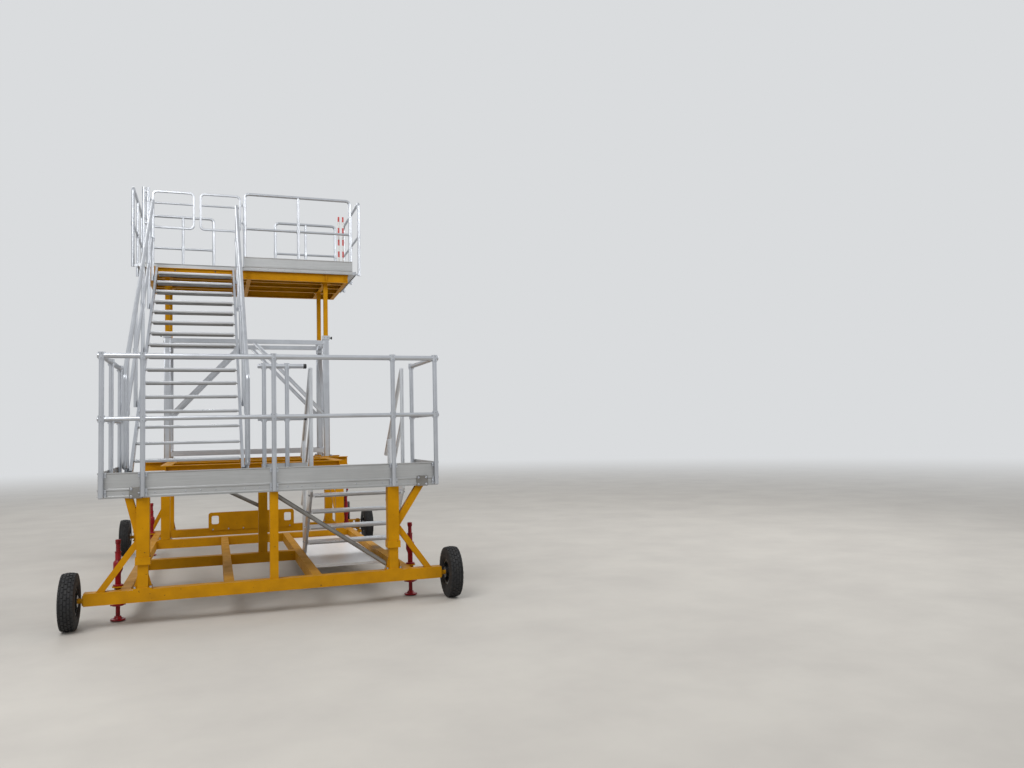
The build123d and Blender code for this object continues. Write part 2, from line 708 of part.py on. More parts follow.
with BuildPart() as tie_rod:
    round_bar((-king_x + 15, rod_y, rod_z), (king_x - 15, rod_y, rod_z), rod_eye)
    for side in (-1, 1):
        with Locations((side * king_x, rod_y + 7, rod_z)):
            Box(56, 64, rod_eye)
        with BuildSketch(Plane.XY.offset(rod_z - 20)) as slot:
            with Locations((side * king_x, rod_y + 7)):
                SlotOverall(36, steer_pin + 2 * rod_slack, rotation=90)
        extrude(slot.sketch, amount=40, mode=Mode.SUBTRACT)
    # Eye for a tow bar
    with BuildSketch(Plane.XY.offset(rod_z - tow_eye_thick / 2)) as eye:
        with Locations((0, rod_y + tow_eye_reach / 2)):
            Rectangle(70, tow_eye_reach)
        with Locations((0, rod_y + tow_eye_reach)):
            Circle(35)
            Circle(tow_eye_bore / 2, mode=Mode.SUBTRACT)
    extrude(eye.sketch, amount=tow_eye_thick)
finish(tie_rod.part, "tie_rod")

# Raised platform: steel frame with the lugs and pins that carry the stair's head
with BuildPart() as upper_frame:
    w = upper_beam_width
    x_low, x_high = upper_left + upper_inset, upper_right - upper_inset
    for y in (upper_front + w / 2, tower_front_y + w, (tower_front_y + tower_rear_y) / 2, tower_rear_y,
              upper_rear - w / 2):
        x_beam(x_low, x_high, y - w / 2, y + w / 2, frame_bottom, frame_top, upper_beam_web)
    for x in (x_low + w / 2, -tower_x, 0, tower_x, x_high - w / 2):
        y_beam(x - w / 2, x + w / 2, upper_front, upper_rear, frame_bottom, frame_top, upper_beam_web)
    for side in (-1, 1):
        face = stair_x + side * (stringer_outer + 6)
        block((face, pivot_y - 28, pivot_z - 28), (face + side * 16, upper_front + 5, frame_top))
        round_bar((stair_x + side * (stringer_inner - 2), pivot_y, pivot_z), (face, pivot_y, pivot_z), pivot_diameter)
finish(upper_frame.part, "upper_frame")

with BuildPart() as inner_legs:
    half = inner_leg / 2
    for x in (-tower_x, tower_x):
        for y in (tower_front_y, tower_rear_y):
            block((x - half, y - half, leg_top - inner_leg_overlap), (x + half, y + half, frame_bottom))
            block((x - 70, y - 70, frame_bottom - 12), (x + 70, y + 70, frame_bottom))
finish(inner_legs.part, "inner_legs")

channel_z = upper_z - 30
half_channel = slider_height / 2
left_edge, right_edge = upper_left - toe_thick, upper_right + toe_thick
with BuildPart() as upper_deck:
    block((upper_left, upper_front - upper_nose, upper_z - deck_thick), (upper_right, upper_rear, upper_z))
    for x0, x1, y0, y1 in (
        (upper_left, upper_right, upper_front, upper_front + joist),
        (upper_left, upper_right, upper_rear - joist, upper_rear),
        (upper_left, upper_left + joist, upper_front, upper_rear),
        (upper_right - joist, upper_right, upper_front, upper_rear),
        (-joist / 2, joist / 2, upper_front, upper_rear),
    ):
        block((x0, y0, frame_top), (x1, y1, upper_z - deck_thick))
    nose_y = upper_front - upper_nose
    toe_board((gate_right_post - 10, nose_y, upper_z), (upper_right + toe_thick, nose_y, upper_z))
    for x in (left_edge, upper_right):
        block((x, nose_y, upper_z - toe_drop), (x + toe_thick, upper_rear, upper_z + toe_height))
    # Side channels in which the outer guards slide
    for side, edge in ((-1, left_edge), (1, right_edge)):
        block((edge, upper_front, channel_z - half_channel), (edge + side * slider_depth, upper_rear, channel_z + half_channel))
        block((edge + side * slider_wall, upper_front, channel_z - half_channel + slider_wall),
              (edge + side * (slider_depth - slider_wall), upper_rear, channel_z + half_channel - slider_wall),
              mode=Mode.SUBTRACT)
        block((edge + side * 10, upper_front, channel_z - 8), (edge + side * (slider_depth + 1), upper_rear, channel_z + 8),
              mode=Mode.SUBTRACT)
finish(upper_deck.part, "upper_deck")

# Fixed guards of the raised platform: bent loops in front and behind, posts for the gates
u_left, u_right = upper_left + inset, upper_right - inset
u_front, u_rear = upper_front + 10, upper_rear - inset
u_top = upper_z + upper_guard
u_mid = upper_z + upper_mid_guard
with BuildPart() as upper_guards:
    for x0, x1, y in ((gate_right_post, u_right, u_front), (u_left, -rear_opening, u_rear),
                      (rear_opening, u_right, u_rear)):
        bent_tube(((x0, y, upper_z), (x0, y, u_top), (x1, y, u_top), (x1, y, upper_z)), rail_bend, tube)
        round_bar((x0, y, u_mid), (x1, y, u_mid), thin_tube)
        uprights((((x0 + x1) / 2, y),), upper_z, u_top, post)
        uprights(((x0, y), ((x0 + x1) / 2, y), (x1, y)), u_mid - fitting_height / 2, u_mid + fitting_height / 2, fitting)
    uprights(((gate_left_post, u_front), (u_left, u_front)), upper_z, u_top, tube)
    for z in (u_top - 60, u_mid):
        round_bar((u_left, u_front, z), (gate_left_post, u_front, z), thin_tube)
finish(upper_guards.part, "upper_guards")

# Outer side guards, each on a bar that slides in the deck's side channel
for name, side, edge in (("left", -1, left_edge), ("right", 1, right_edge)):
    strip = edge + side * (slider_depth + 8)
    rail_x = strip + side * guard_offset
    y0, y1 = upper_front + 60, upper_rear - 60
    wall = slider_wall + seat_gap
    low_z = channel_z - 20
    with BuildPart() as side_guard:
        block((edge + side * wall, upper_front, channel_z - half_channel + wall),
              (edge + side * (slider_depth - wall), upper_rear, channel_z + half_channel - wall))
        block((edge + side * 20, upper_front, channel_z - 8 + seat_gap),
              (strip + side * 2, upper_rear, channel_z + 8 - seat_gap))
        block((strip, upper_front, channel_z - 30), (strip + side * 8, upper_rear, channel_z + 30))
        for y in (y0, (y0 + y1) / 2, y1):
            block((strip, y - 12, channel_z - 12), (rail_x, y + 12, channel_z + 12))
        bent_tube(((rail_x, y0, low_z), (rail_x, y0, u_top), (rail_x, y1, u_top), (rail_x, y1, low_z)), rail_bend, tube)
        round_bar((rail_x, y0, u_mid), (rail_x, y1, u_mid), thin_tube)
        uprights(((rail_x, (y0 + y1) / 2),), low_z, u_top, post)
        uprights([(rail_x, y) for y in (y0, (y0 + y1) / 2, y1)], u_mid - fitting_height / 2, u_mid + fitting_height / 2,
                 fitting)
    finish(side_guard.part, f"side_guard_{name}")

# Gates at the head of the stair: a pair of tube loops on hinge sleeves
gate_low, gate_high = upper_z + gate_rise, upper_z + gate_rise + gate_height
sleeve = tube / 2 + seat_gap
for name, post_x, side in (("left", gate_left_post, 1), ("right", gate_right_post, -1)):
    near = post_x + side * (tube / 2 + 24)
    far = (gate_left_post + gate_right_post) / 2 - side * 30
    with BuildPart() as gate:
        with BuildSketch(Plane.XZ.offset(-u_front)) as ring:
            with Locations(((near + far) / 2, (gate_low + gate_high) / 2)):
                RectangleRounded(abs(far - near), gate_height, 70)
                RectangleRounded(abs(far - near) - 2 * gate_tube, gate_height - 2 * gate_tube, 45, mode=Mode.SUBTRACT)
        extrude(ring.sketch, amount=gate_tube / 2, both=True)
        fillet(gate.edges().filter_by(Plane.XZ), 8)
        bar_z = gate_low + gate_bar
        round_bar((near + side * 5, u_front, bar_z), (far - side * 5, u_front, bar_z), gate_tube - 4)
        hinge_z = (gate_low + gate_hinge, gate_high - gate_hinge)
        for z in hinge_z:
            uprights(((post_x, u_front),), z - 30, z + 30, 2 * sleeve + 12)
            round_bar((post_x + side * 10, u_front, z), (near + side * 10, u_front, z), gate_tube - 4)
        for z in hinge_z:
            with Locations((post_x, u_front, z)):
                Cylinder(sleeve, 80, mode=Mode.SUBTRACT)
    finish(gate.part, f"gate_{name}")

# Stair flight: channel stringers bored for the treads' pins, with axles for the foot rollers
bar_low_y, bar_high_y = foot_y + 55, pivot_y + 22
bar_length = hypot(bar_high_y - bar_low_y, line_z(bar_high_y) - line_z(bar_low_y))
bar_middle = ((bar_low_y + bar_high_y) / 2, line_z((bar_low_y + bar_high_y) / 2))
plate_middle_y = foot_y + 35
pin_places = [(first_pin_y + going * i, first_pin_z + riser * i) for i in range(tread_count)]
roller_x = stringer_inner + stringer_web + 1
with BuildPart() as stair_stringers:
    for side in (-1, 1):
        inner_x = stair_x + side * stringer_inner
        with BuildSketch(Plane.YZ.offset(inner_x)) as bar:
            with Locations(bar_middle):
                Rectangle(bar_length, stringer, rotation=degrees(pitch))
        extrude(bar.sketch, amount=side * stringer_width)
        with BuildSketch(Plane.YZ.offset(inner_x + side * stringer_web)) as hollow:
            with Locations(bar_middle):
                Rectangle(bar_length - 2 * stringer_lip, stringer - 2 * stringer_lip, rotation=degrees(pitch))
        extrude(hollow.sketch, amount=side * stringer_width, mode=Mode.SUBTRACT)
        # The web runs on below the bar and carries the roller's axle
        with BuildSketch(Plane.YZ.offset(inner_x)) as plate:
            with Locations((plate_middle_y, line_z(plate_middle_y))):
                Rectangle(110, 52, rotation=degrees(pitch))
            with Locations((foot_y, foot_z)):
                Circle(26)
        extrude(plate.sketch, amount=side * stringer_web)
        round_bar((inner_x + side * 2, foot_y, foot_z), (stair_x + side * (roller_x + roller_width + 7), foot_y, foot_z),
                  roller_pin)
        round_bar((stair_x + side * (roller_x + roller_width + 1), foot_y, foot_z),
                  (stair_x + side * (roller_x + roller_width + 7), foot_y, foot_z), roller_pin + 12)
        with BuildSketch(Plane.YZ.offset(inner_x)) as bores:
            with Locations((pivot_y, pivot_z)):
                Circle(pivot_diameter / 2 + running_gap)
            with Locations(*pin_places):
                Circle(tread_pin / 2 + running_gap)
        extrude(bores.sketch, amount=side * stringer_width, mode=Mode.SUBTRACT)
finish(stair_stringers.part, "stair_stringers")

for name, side in (("left", -1), ("right", 1)):
    with BuildPart() as roller:
        start = stair_x + side * roller_x
        round_bar((start, foot_y, foot_z), (start + side * roller_width, foot_y, foot_z), roller_diameter)
        fillet(roller.edges().filter_by(GeomType.CIRCLE), 3)
        round_bar((start, foot_y, foot_z), (start + side * roller_width, foot_y, foot_z), roller_pin + 2 * running_gap,
                  mode=Mode.SUBTRACT)
    finish(roller.part, f"foot_roller_{name}")

# Handrails of the stair, on posts that stand off the stringers midway between treads
stair_rail_top = pivot_y - 180
stair_rail_low = foot_y - 135
post_steps = (-0.5, 3.5, 7.5, 11.5, 14.5)
with BuildPart() as stair_rails:
    for side in (-1, 1):
        x = stair_x + side * stair_rail_offset
        web_face = stair_x + side * (stringer_inner + stringer_web)
        first_post = first_pin_y + going * post_steps[0]
        bent_tube(((x, stair_rail_top, line_z(stair_rail_top) + stair_rail_rise),
                   (x, stair_rail_low, line_z(stair_rail_low) + stair_rail_rise),
                   (x, stair_rail_low, deck_z + 150), (x, first_post, deck_z + 150)), rail_bend, tube)
        round_bar((x, stair_rail_low, line_z(stair_rail_low) + stair_mid_rise),
                  (x, stair_rail_top, line_z(stair_rail_top) + stair_mid_rise), thin_tube)
        for step in post_steps:
            y = first_pin_y + going * step
            round_bar((x, y, line_z(y) - 30), (x, y, line_z(y) + stair_rail_rise), post)
            round_bar((web_face, y, line_z(y)), (x, y, line_z(y)), 24)
            mid_z = line_z(y) + stair_mid_rise
            uprights(((x, y),), mid_z - 38, mid_z + 38, fitting)
finish(stair_rails.part, "stair_rails")

# Treads, each on its own pins between the stringers
for i, (y, z) in enumerate(pin_places):
    with BuildPart() as tread:
        ribbed_tread(stair_x - tread_half, stair_x + tread_half, y - tread_depth / 2, z + tread_thick / 2,
                     tread_depth, tread_thick)
        reach = stringer_inner + stringer_web + pin_end
        for side in (-1, 1):
            round_bar((stair_x + side * (tread_half - tread_wall), y, z), (stair_x + side * reach, y, z), tread_pin)
    finish(tread.part, f"tread_{i + 1:02d}")
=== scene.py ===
"""Dresses the variable height access platform: finishes for its solids, and the pieces that they leave out.

Places are in millimetres from the floor midway between the front wheels, as in the part's source, and
mm() turns them into the frame's metres.
"""
import math

import bmesh
import bpy
from bpy.props import FloatProperty, FloatVectorProperty, IntProperty, PointerProperty
from mathutils import Matrix, Vector


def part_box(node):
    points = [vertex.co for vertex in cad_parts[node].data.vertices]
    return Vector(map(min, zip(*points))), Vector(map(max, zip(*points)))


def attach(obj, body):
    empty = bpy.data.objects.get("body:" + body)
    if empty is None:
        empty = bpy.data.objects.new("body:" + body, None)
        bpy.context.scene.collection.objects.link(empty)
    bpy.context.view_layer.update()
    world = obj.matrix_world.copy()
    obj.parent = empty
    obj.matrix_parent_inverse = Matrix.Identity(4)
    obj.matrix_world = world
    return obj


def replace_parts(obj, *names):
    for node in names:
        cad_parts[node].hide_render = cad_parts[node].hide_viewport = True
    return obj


bl_info = {
    "name": "Access platform dressing",
    "version": (1, 0, 0),
    "blender": (4, 5, 0),
    "location": "View3D > Sidebar > Platform",
    "description": "Finishes, tyres, fixings and studio for a variable height access platform",
    "category": "Object",
}

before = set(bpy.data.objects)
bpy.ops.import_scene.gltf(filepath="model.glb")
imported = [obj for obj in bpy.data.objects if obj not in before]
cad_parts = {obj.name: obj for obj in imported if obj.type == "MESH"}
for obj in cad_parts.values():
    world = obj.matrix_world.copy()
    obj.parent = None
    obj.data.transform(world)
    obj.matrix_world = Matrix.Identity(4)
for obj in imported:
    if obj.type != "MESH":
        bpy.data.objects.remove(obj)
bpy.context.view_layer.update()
front_axle_y = sum(corner.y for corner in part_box("rim_fl")) / 2

X, Y, Z = Vector((1, 0, 0)), Vector((0, 1, 0)), Vector((0, 0, 1))


def mm(x, y, z):
    """A place in the frame, from millimetres measured from the front axle."""
    return Vector((x / 1000, y / 1000 + front_axle_y, z / 1000))


def linear(code):
    """An sRGB hex colour as linear red, green and blue with full alpha."""
    parts = [int(code[i:i + 2], 16) / 255 for i in (1, 3, 5)]
    return [p / 12.92 if p <= 0.04045 else ((p + 0.055) / 1.055) ** 2.4 for p in parts] + [1.0]


# Sizes and places in millimetres, as the part's source has them
wheel_x, wheelbase, wheel_z = 1575, 4500, 230
column_x, column_rows, foot_top = 1035, (0, 3410, 4500), 302
beam_top, middle_post_y = 290, 1740
deck_z, deck_left, deck_right, deck_front = 1100, -1365, 1450, -50
toe_bead, toe_height, toe_thick, upper_toe_out, rivet_drop = 10, 145, 4, 15, 26
guard_top, guard_mid = 2195, 1680
guard_tube, guard_mid_tube, fitting_radius = 44, 36, 27
guard_front_y, guard_left_x, guard_right_x, guard_rear_y = -88, -1341, 1426, 916
guard_left_end_y, guard_rear_end_x = 1390, -80
front_posts = (guard_left_x, -1035, 0, 1035, guard_right_x)
side_posts = ((guard_left_x, 600, -1), (guard_left_x, 1316, -1), (guard_right_x, 876, 1))
upper_posts = (-60, 698, 1456)
base_middle, tower_x, tower_rows = 1120, 1100, (5150, 6000)
leg_plate_top, leg_top, leg_half, leg_wall_middle = 1192, 2990, 40, 39
clamp_middle, clamp_height, clamp_face = 2960, 60, 52
diagonal_low, diagonal_top_x, diagonal_half = 1780, 60, 25
upper_z, upper_front, upper_right, upper_mid = 3955, 5000, 1480, 4515
stair_x, stair_half, stringer_web_face = -722, 500, 499
tread_count, tread_top, tread_rise, tread_going = 16, 1315, 165, 235
tread_pins = [(1312.5 + tread_going * i, 1300 + tread_rise * i) for i in range(tread_count)]
step_left, step_right, step_top_y = 412, 1360, 951
step_count, step_riser, step_going, step_thick = 4, 175, 190.6, 30
rear_plate_y, rear_plate_bolt_z = 4438, 276
tank_x, tank_y, tank_radius = 1285, 4640, 70
wheels = (("fl", -1, 0), ("fr", 1, 0), ("rl", -1, wheelbase), ("rr", 1, wheelbase))
jacks = (("fl", -1245, 240), ("fr", 1245, 240), ("rl", -1245, 4260), ("rr", 1245, 4260))


def length_property(name, about, default, **limits):
    """A length that a user can change, in metres."""
    return FloatProperty(name=name, description=about, default=default, unit="LENGTH", **limits)


def colour_property(name, about, code):
    """A colour that a user can change, from its sRGB hex value."""
    return FloatVectorProperty(name=name, description=about, default=linear(code), subtype="COLOR", size=4,
                               min=0, max=1)


class WheelSizes(bpy.types.PropertyGroup):
    tread_depth: length_property("Tread depth", "Depth of the grooves between the tread blocks", 0.007,
                                 min=0.002, max=0.012)
    tread_blocks: IntProperty(name="Tread blocks", description="Blocks in each ring of the tread",
                              default=32, min=12, max=48)
    nut_circle: length_property("Nut circle", "Radius of the circle of wheel nuts", 0.068)
    nuts: IntProperty(name="Wheel nuts", description="Nuts that hold each wheel", default=5, min=3, max=8)


class FixingSizes(bpy.types.PropertyGroup):
    foot_bolt: length_property("Foot bolt", "Width across the flats of the bolts in the column feet", 0.018)
    tower_bolt: length_property("Tower bolt", "Width across the flats of the tower's foot bolts", 0.024)
    bracket_bolt: length_property("Bracket bolt", "Width across the flats of the guard bracket bolts", 0.013)
    rivet: length_property("Rivet", "Diameter of the rivet heads in the toe boards", 0.012)
    rivet_pitch: length_property("Rivet pitch", "Distance between the rivets of a toe board", 0.1175)


class PaintColours(bpy.types.PropertyGroup):
    yellow: colour_property("Yellow", "Enamel of the chassis, supports and platform frame", "#C48A08")
    red: colour_property("Red", "Enamel of the jacks", "#96101C")
    aluminium: colour_property("Aluminium", "Bare aluminium of the guards and the stair", "#C9CCD1")
    rubber: colour_property("Rubber", "Rubber of the tyres", "#1B1B1D")


class StudioSettings(bpy.types.PropertyGroup):
    floor: colour_property("Floor", "Colour of the studio floor", "#C4C0B9")
    backdrop: colour_property("Backdrop", "Colour behind the platform", "#DADCDE")
    key_power: FloatProperty(name="Key lamp", description="Power of the lamp above the platform's front",
                             default=620, min=0, unit="POWER")
    room_light: FloatProperty(name="Room light", description="Strength of the even light from all sides",
                              default=0.62, min=0, max=2)


# Tools for shaping a piece


def deselect_all():
    """Goes to object mode with nothing selected."""
    if bpy.context.object and bpy.context.object.mode != "OBJECT":
        bpy.ops.object.mode_set(mode="OBJECT")
    bpy.ops.object.select_all(action="DESELECT")


def select_only(piece):
    """Goes to object mode with one piece selected and active."""
    deselect_all()
    bpy.context.view_layer.objects.active = piece
    piece.select_set(True)


def add(kind, name, at=(0, 0, 0), stretch=(1, 1, 1), **size):
    """Adds a primitive with its place in its mesh, and opens it in edit mode."""
    deselect_all()
    getattr(bpy.ops.mesh, f"primitive_{kind}_add")(location=at, **size)
    piece = bpy.context.object
    piece.name = piece.data.name = name
    piece.scale = stretch
    bpy.ops.object.transform_apply(location=True, rotation=True, scale=True)
    bpy.ops.object.mode_set(mode="EDIT")
    return piece


def pick(piece, kind, test):
    """Selects the faces whose middle and normal, or the edges whose middle and direction, pass a test."""
    bpy.ops.mesh.select_mode(type=kind)
    bpy.ops.mesh.select_all(action="DESELECT")
    mesh = bmesh.from_edit_mesh(piece.data)
    mesh.normal_update()
    if kind == "FACE":
        for face in mesh.faces:
            face.select_set(bool(test(face.calc_center_median(), face.normal)))
    else:
        for edge in mesh.edges:
            a, b = edge.verts
            edge.select_set(bool(test((a.co + b.co) / 2, (b.co - a.co).normalized())))
    mesh.select_flush_mode()
    bmesh.update_edit_mesh(piece.data)


def extrude(step=(0, 0, 0)):
    """Extrudes the selection and moves it by a step."""
    bpy.ops.mesh.extrude_region_move(TRANSFORM_OT_translate={"value": step})


def lathe(name, outline, centre=(0, 0, 0), axis=(0, 0, 1), steps=24):
    """A turned piece: an outline of (along, radius) in millimetres, extruded and then spun about an axis."""
    centre, axis = Vector(centre), Vector(axis)
    out = Z if abs(axis.z) < 0.5 else X
    places = [centre + axis * along / 1000 + out * radius / 1000 for along, radius in outline]
    piece = add("plane", name, places[0], size=0.002)
    bpy.ops.mesh.select_mode(type="VERT")
    bpy.ops.mesh.select_all(action="SELECT")
    bpy.ops.mesh.merge(type="CENTER")
    for here, there in zip(places, places[1:]):
        extrude(there - here)
    bpy.ops.mesh.select_all(action="SELECT")
    bpy.ops.mesh.spin(steps=steps, angle=2 * math.pi, center=centre, axis=axis)
    bpy.ops.mesh.select_all(action="SELECT")
    bpy.ops.mesh.remove_doubles(threshold=0.00004)
    bpy.ops.mesh.normals_make_consistent(inside=False)
    return piece


def round_edges(piece, width, angle=40):
    """Rounds a piece's edges that are sharper than an angle in degrees."""
    select_only(piece)
    bevel = piece.modifiers.new("Bevel", "BEVEL")
    bevel.width = width
    bevel.segments = 1
    bevel.limit_method = "ANGLE"
    bevel.angle_limit = math.radians(angle)
    bpy.ops.object.modifier_apply(modifier=bevel.name)


def facing(place, direction, about=0):
    """Where a piece modelled on the origin and pointing up is put, to point in a direction."""
    turn = Vector(direction).to_track_quat("Z", "Y").to_matrix().to_4x4()
    return Matrix.Translation(place) @ turn @ Matrix.Rotation(about, 4, "Z")


def join(pieces, name):
    """Joins pieces into one with a name of its own."""
    select_only(pieces[0])
    for piece in pieces[1:]:
        piece.select_set(True)
    if len(pieces) > 1:
        bpy.ops.object.join()
    pieces[0].name = pieces[0].data.name = name
    return pieces[0]


def copies(piece, name, places):
    """Copies a modelled piece to each of its places and joins the copies."""
    deselect_all()
    made = []
    for place in places:
        copy = bpy.data.objects.new(name, piece.data.copy())
        copy.data.transform(place)
        bpy.context.scene.collection.objects.link(copy)
        made.append(copy)
    return join(made, name)


def discard(*patterns):
    """Removes the pattern pieces whose copies are in place."""
    deselect_all()
    for piece in patterns:
        bpy.data.objects.remove(piece)


def on_circle(middle, parts):
    """Which of the equal parts round the Z axis a place lies in."""
    return int(math.atan2(middle.y, middle.x) % (2 * math.pi) * parts / (2 * math.pi))


def settle(piece, body, material, smooth=35):
    """Ends a piece: shades it smooth below an angle in degrees, and gives it its finish and its body."""
    select_only(piece)
    bpy.ops.object.shade_smooth_by_angle(angle=math.radians(smooth))
    piece.data.materials.clear()
    piece.data.materials.append(material)
    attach(piece, body)
    return piece


def hex_bolt(name, across, rise=0.62, washer=1.25, thick=0.13):
    """A hexagon head on its washer, seated on the origin and pointing up.

    rise and thick are the head's height and the washer's thickness as parts of the width across the flats,
    and washer is the washer's width as a part of the width across the corners.
    """
    head, plate, corners = across * rise, across * thick, across * 1.15
    piece = add("cylinder", name, (0, 0, plate + head / 2), vertices=6, radius=across / math.sqrt(3),
                depth=head)
    pick(piece, "FACE", lambda middle, normal: normal.z > 0.9)
    bpy.ops.mesh.inset(thickness=across * 0.09)
    bpy.ops.transform.translate(value=(0, 0, across * 0.07))
    bpy.ops.mesh.inset(thickness=across * 0.12)
    bpy.ops.transform.translate(value=(0, 0, -across * 0.03))
    bpy.ops.mesh.primitive_cylinder_add(location=(0, 0, plate / 2), vertices=16, radius=corners * washer / 2,
                                        depth=plate)
    pick(piece, "EDGE", lambda middle, run: abs(middle.z - plate) < 1e-5 and middle.xy.length > across * 0.6)
    bpy.ops.mesh.bevel(offset=plate * 0.4, segments=1, affect="EDGES")
    bpy.ops.object.mode_set(mode="OBJECT")
    return piece


# Tools for making a finish


def node(tree, kind, inputs=None, **settings):
    """Adds a node, sets its properties, and fills or links its sockets.

    A node given for a socket stands for its first output, and a hex code for its colour.
    """
    made = tree.nodes.new("ShaderNode" + kind)
    for key, value in settings.items():
        setattr(made, key, value)
    for socket, value in (inputs or {}).items():
        if isinstance(value, bpy.types.Node):
            value = value.outputs[0]
        elif isinstance(value, str):
            value = linear(value)
        if isinstance(value, bpy.types.NodeSocket):
            tree.links.new(value, made.inputs[socket])
        else:
            made.inputs[socket].default_value = value
    return made


finishes = {}


def surface(name, colour, worn, patch, rough, swing, metallic=0.0, grain=1.0, relief=0.02, stretch=(1, 1, 1),
            coat=0.0, shine=0.5, extra=None):
    """A finish that drifts between two colours in patches and carries a fine grain.

    patch and grain are the sizes of the marks and relief the height of the grain, all in millimetres. The
    roughness drifts by swing to each side of rough. stretch draws the marks out along an axis. coat is the
    weight of a clear coat and shine the strength of a paint's reflection. extra, if given, adds what this
    material alone has.
    """
    if name in finishes:
        return finishes[name]
    material = bpy.data.materials.new(name)
    material.use_nodes = True
    tree = material.node_tree
    tree.nodes.clear()
    place = node(tree, "TexCoord").outputs["Object"]
    drawn = node(tree, "Mapping", {"Vector": place, "Scale": stretch})
    patches = node(tree, "TexNoise", {"Vector": drawn, "Scale": 1000 / patch, "Detail": 4.0,
                                      "Roughness": 0.6})
    spread = node(tree, "MapRange", {"Value": patches, "From Min": 0.35, "From Max": 0.68})
    tint = node(tree, "Mix", {"Factor": spread, 6: colour, 7: worn}, data_type="RGBA")
    fine = node(tree, "TexNoise", {"Vector": drawn, "Scale": 1000 / grain, "Detail": 3.0})
    sheen = node(tree, "MapRange", {"Value": patches, "From Min": 0.3, "From Max": 0.7,
                                    "To Min": rough - swing, "To Max": rough + swing})
    bump = node(tree, "Bump", {"Height": fine, "Distance": relief / 1000, "Strength": 0.6})
    shader = node(tree, "BsdfPrincipled", {
        "Base Color": tint.outputs[2], "Roughness": sheen,
        "Normal": bump, "Metallic": metallic, "Specular IOR Level": shine})
    if coat:
        shader.inputs["Coat Weight"].default_value = coat
        shader.inputs["Coat Roughness"].default_value = 0.12
    if extra:
        extra(tree, place, shader, bump)
    node(tree, "OutputMaterial", {"Surface": shader})
    finishes[name] = material
    return material


def cover(tree, shader, amount, colour, rough=None):
    """Lays a second colour over a finish by a factor from 0 to 1, and its roughness with it."""
    below = shader.inputs["Base Color"].links[0].from_socket
    laid = node(tree, "Mix", {"Factor": amount, 6: below, 7: colour}, data_type="RGBA")
    tree.links.new(laid.outputs[2], shader.inputs["Base Color"])
    if rough is not None:
        below = shader.inputs["Roughness"].links[0].from_socket
        dull = node(tree, "Mix", {"Factor": amount, 2: below, 3: rough}, data_type="FLOAT")
        tree.links.new(dull.outputs[0], shader.inputs["Roughness"])


def chips_and_dust(tree, place, shader, bump):
    """Small chips through the paint, and a film of floor dust low down."""
    spots = node(tree, "TexNoise", {"Vector": place, "Scale": 1000 / 22, "Detail": 5.0, "Roughness": 0.62})
    chipped = node(tree, "MapRange", {"Value": spots, "From Min": 0.67, "From Max": 0.7})
    cover(tree, shader, chipped, "#54401F", 0.7)
    height = node(tree, "SeparateXYZ", {"Vector": place}).outputs["Z"]
    low = node(tree, "MapRange", {"Value": height, "From Min": 0.6, "From Max": 0.1, "To Max": 0.22})
    cloud = node(tree, "TexNoise", {"Vector": place, "Scale": 1000 / 160, "Detail": 5.0})
    film = node(tree, "Math", {0: low, 1: cloud}, operation="MULTIPLY")
    cover(tree, shader, film, "#7A6136", 0.7)


def yellow_enamel():
    """Brushed alkyd enamel on welded steel: an ochre yellow with a soft gloss, chips and floor dust."""
    base = bpy.context.scene.platform_paint.yellow
    return surface("Yellow alkyd enamel", base, "#B47D07", 160, 0.48, 0.06, grain=5, relief=0.08,
                   shine=0.08, extra=chips_and_dust)


def crimson_enamel():
    """Enamel on the jacks: a deep red, scuffed darker in patches."""
    base = bpy.context.scene.platform_paint.red
    return surface("Crimson enamel", base, "#6A0C16", 40, 0.32, 0.08, grain=2.5, relief=0.08, shine=0.3)


def fingered(tree, place, shader, bump):
    """Dull grey oxide and handling marks that break up the shine of bare metal."""
    cloud = node(tree, "TexNoise", {"Vector": place, "Scale": 1000 / 180, "Detail": 3.0, "Roughness": 0.5})
    dulled = node(tree, "MapRange", {"Value": cloud, "From Min": 0.5, "From Max": 0.78, "To Max": 0.22})
    cover(tree, shader, dulled, "#9C9FA3", 0.42)


def drawn_tube():
    """Mill-finish aluminium tube, drawn through a die: a soft bright sheen with patches of dull oxide."""
    base = bpy.context.scene.platform_paint.aluminium
    return surface("Mill-finish aluminium tube", base, "#BBBEC3", 400, 0.34, 0.03, 1.0, grain=12,
                   relief=0.02, extra=fingered)


def dark_grey_bar():
    """Aluminium bar below the deck: a dark grey, with little shine."""
    return surface("Dark grey aluminium bar", "#8F8D89", "#7A7772", 150, 0.48, 0.06, 0.8, grain=8,
                   relief=0.04)


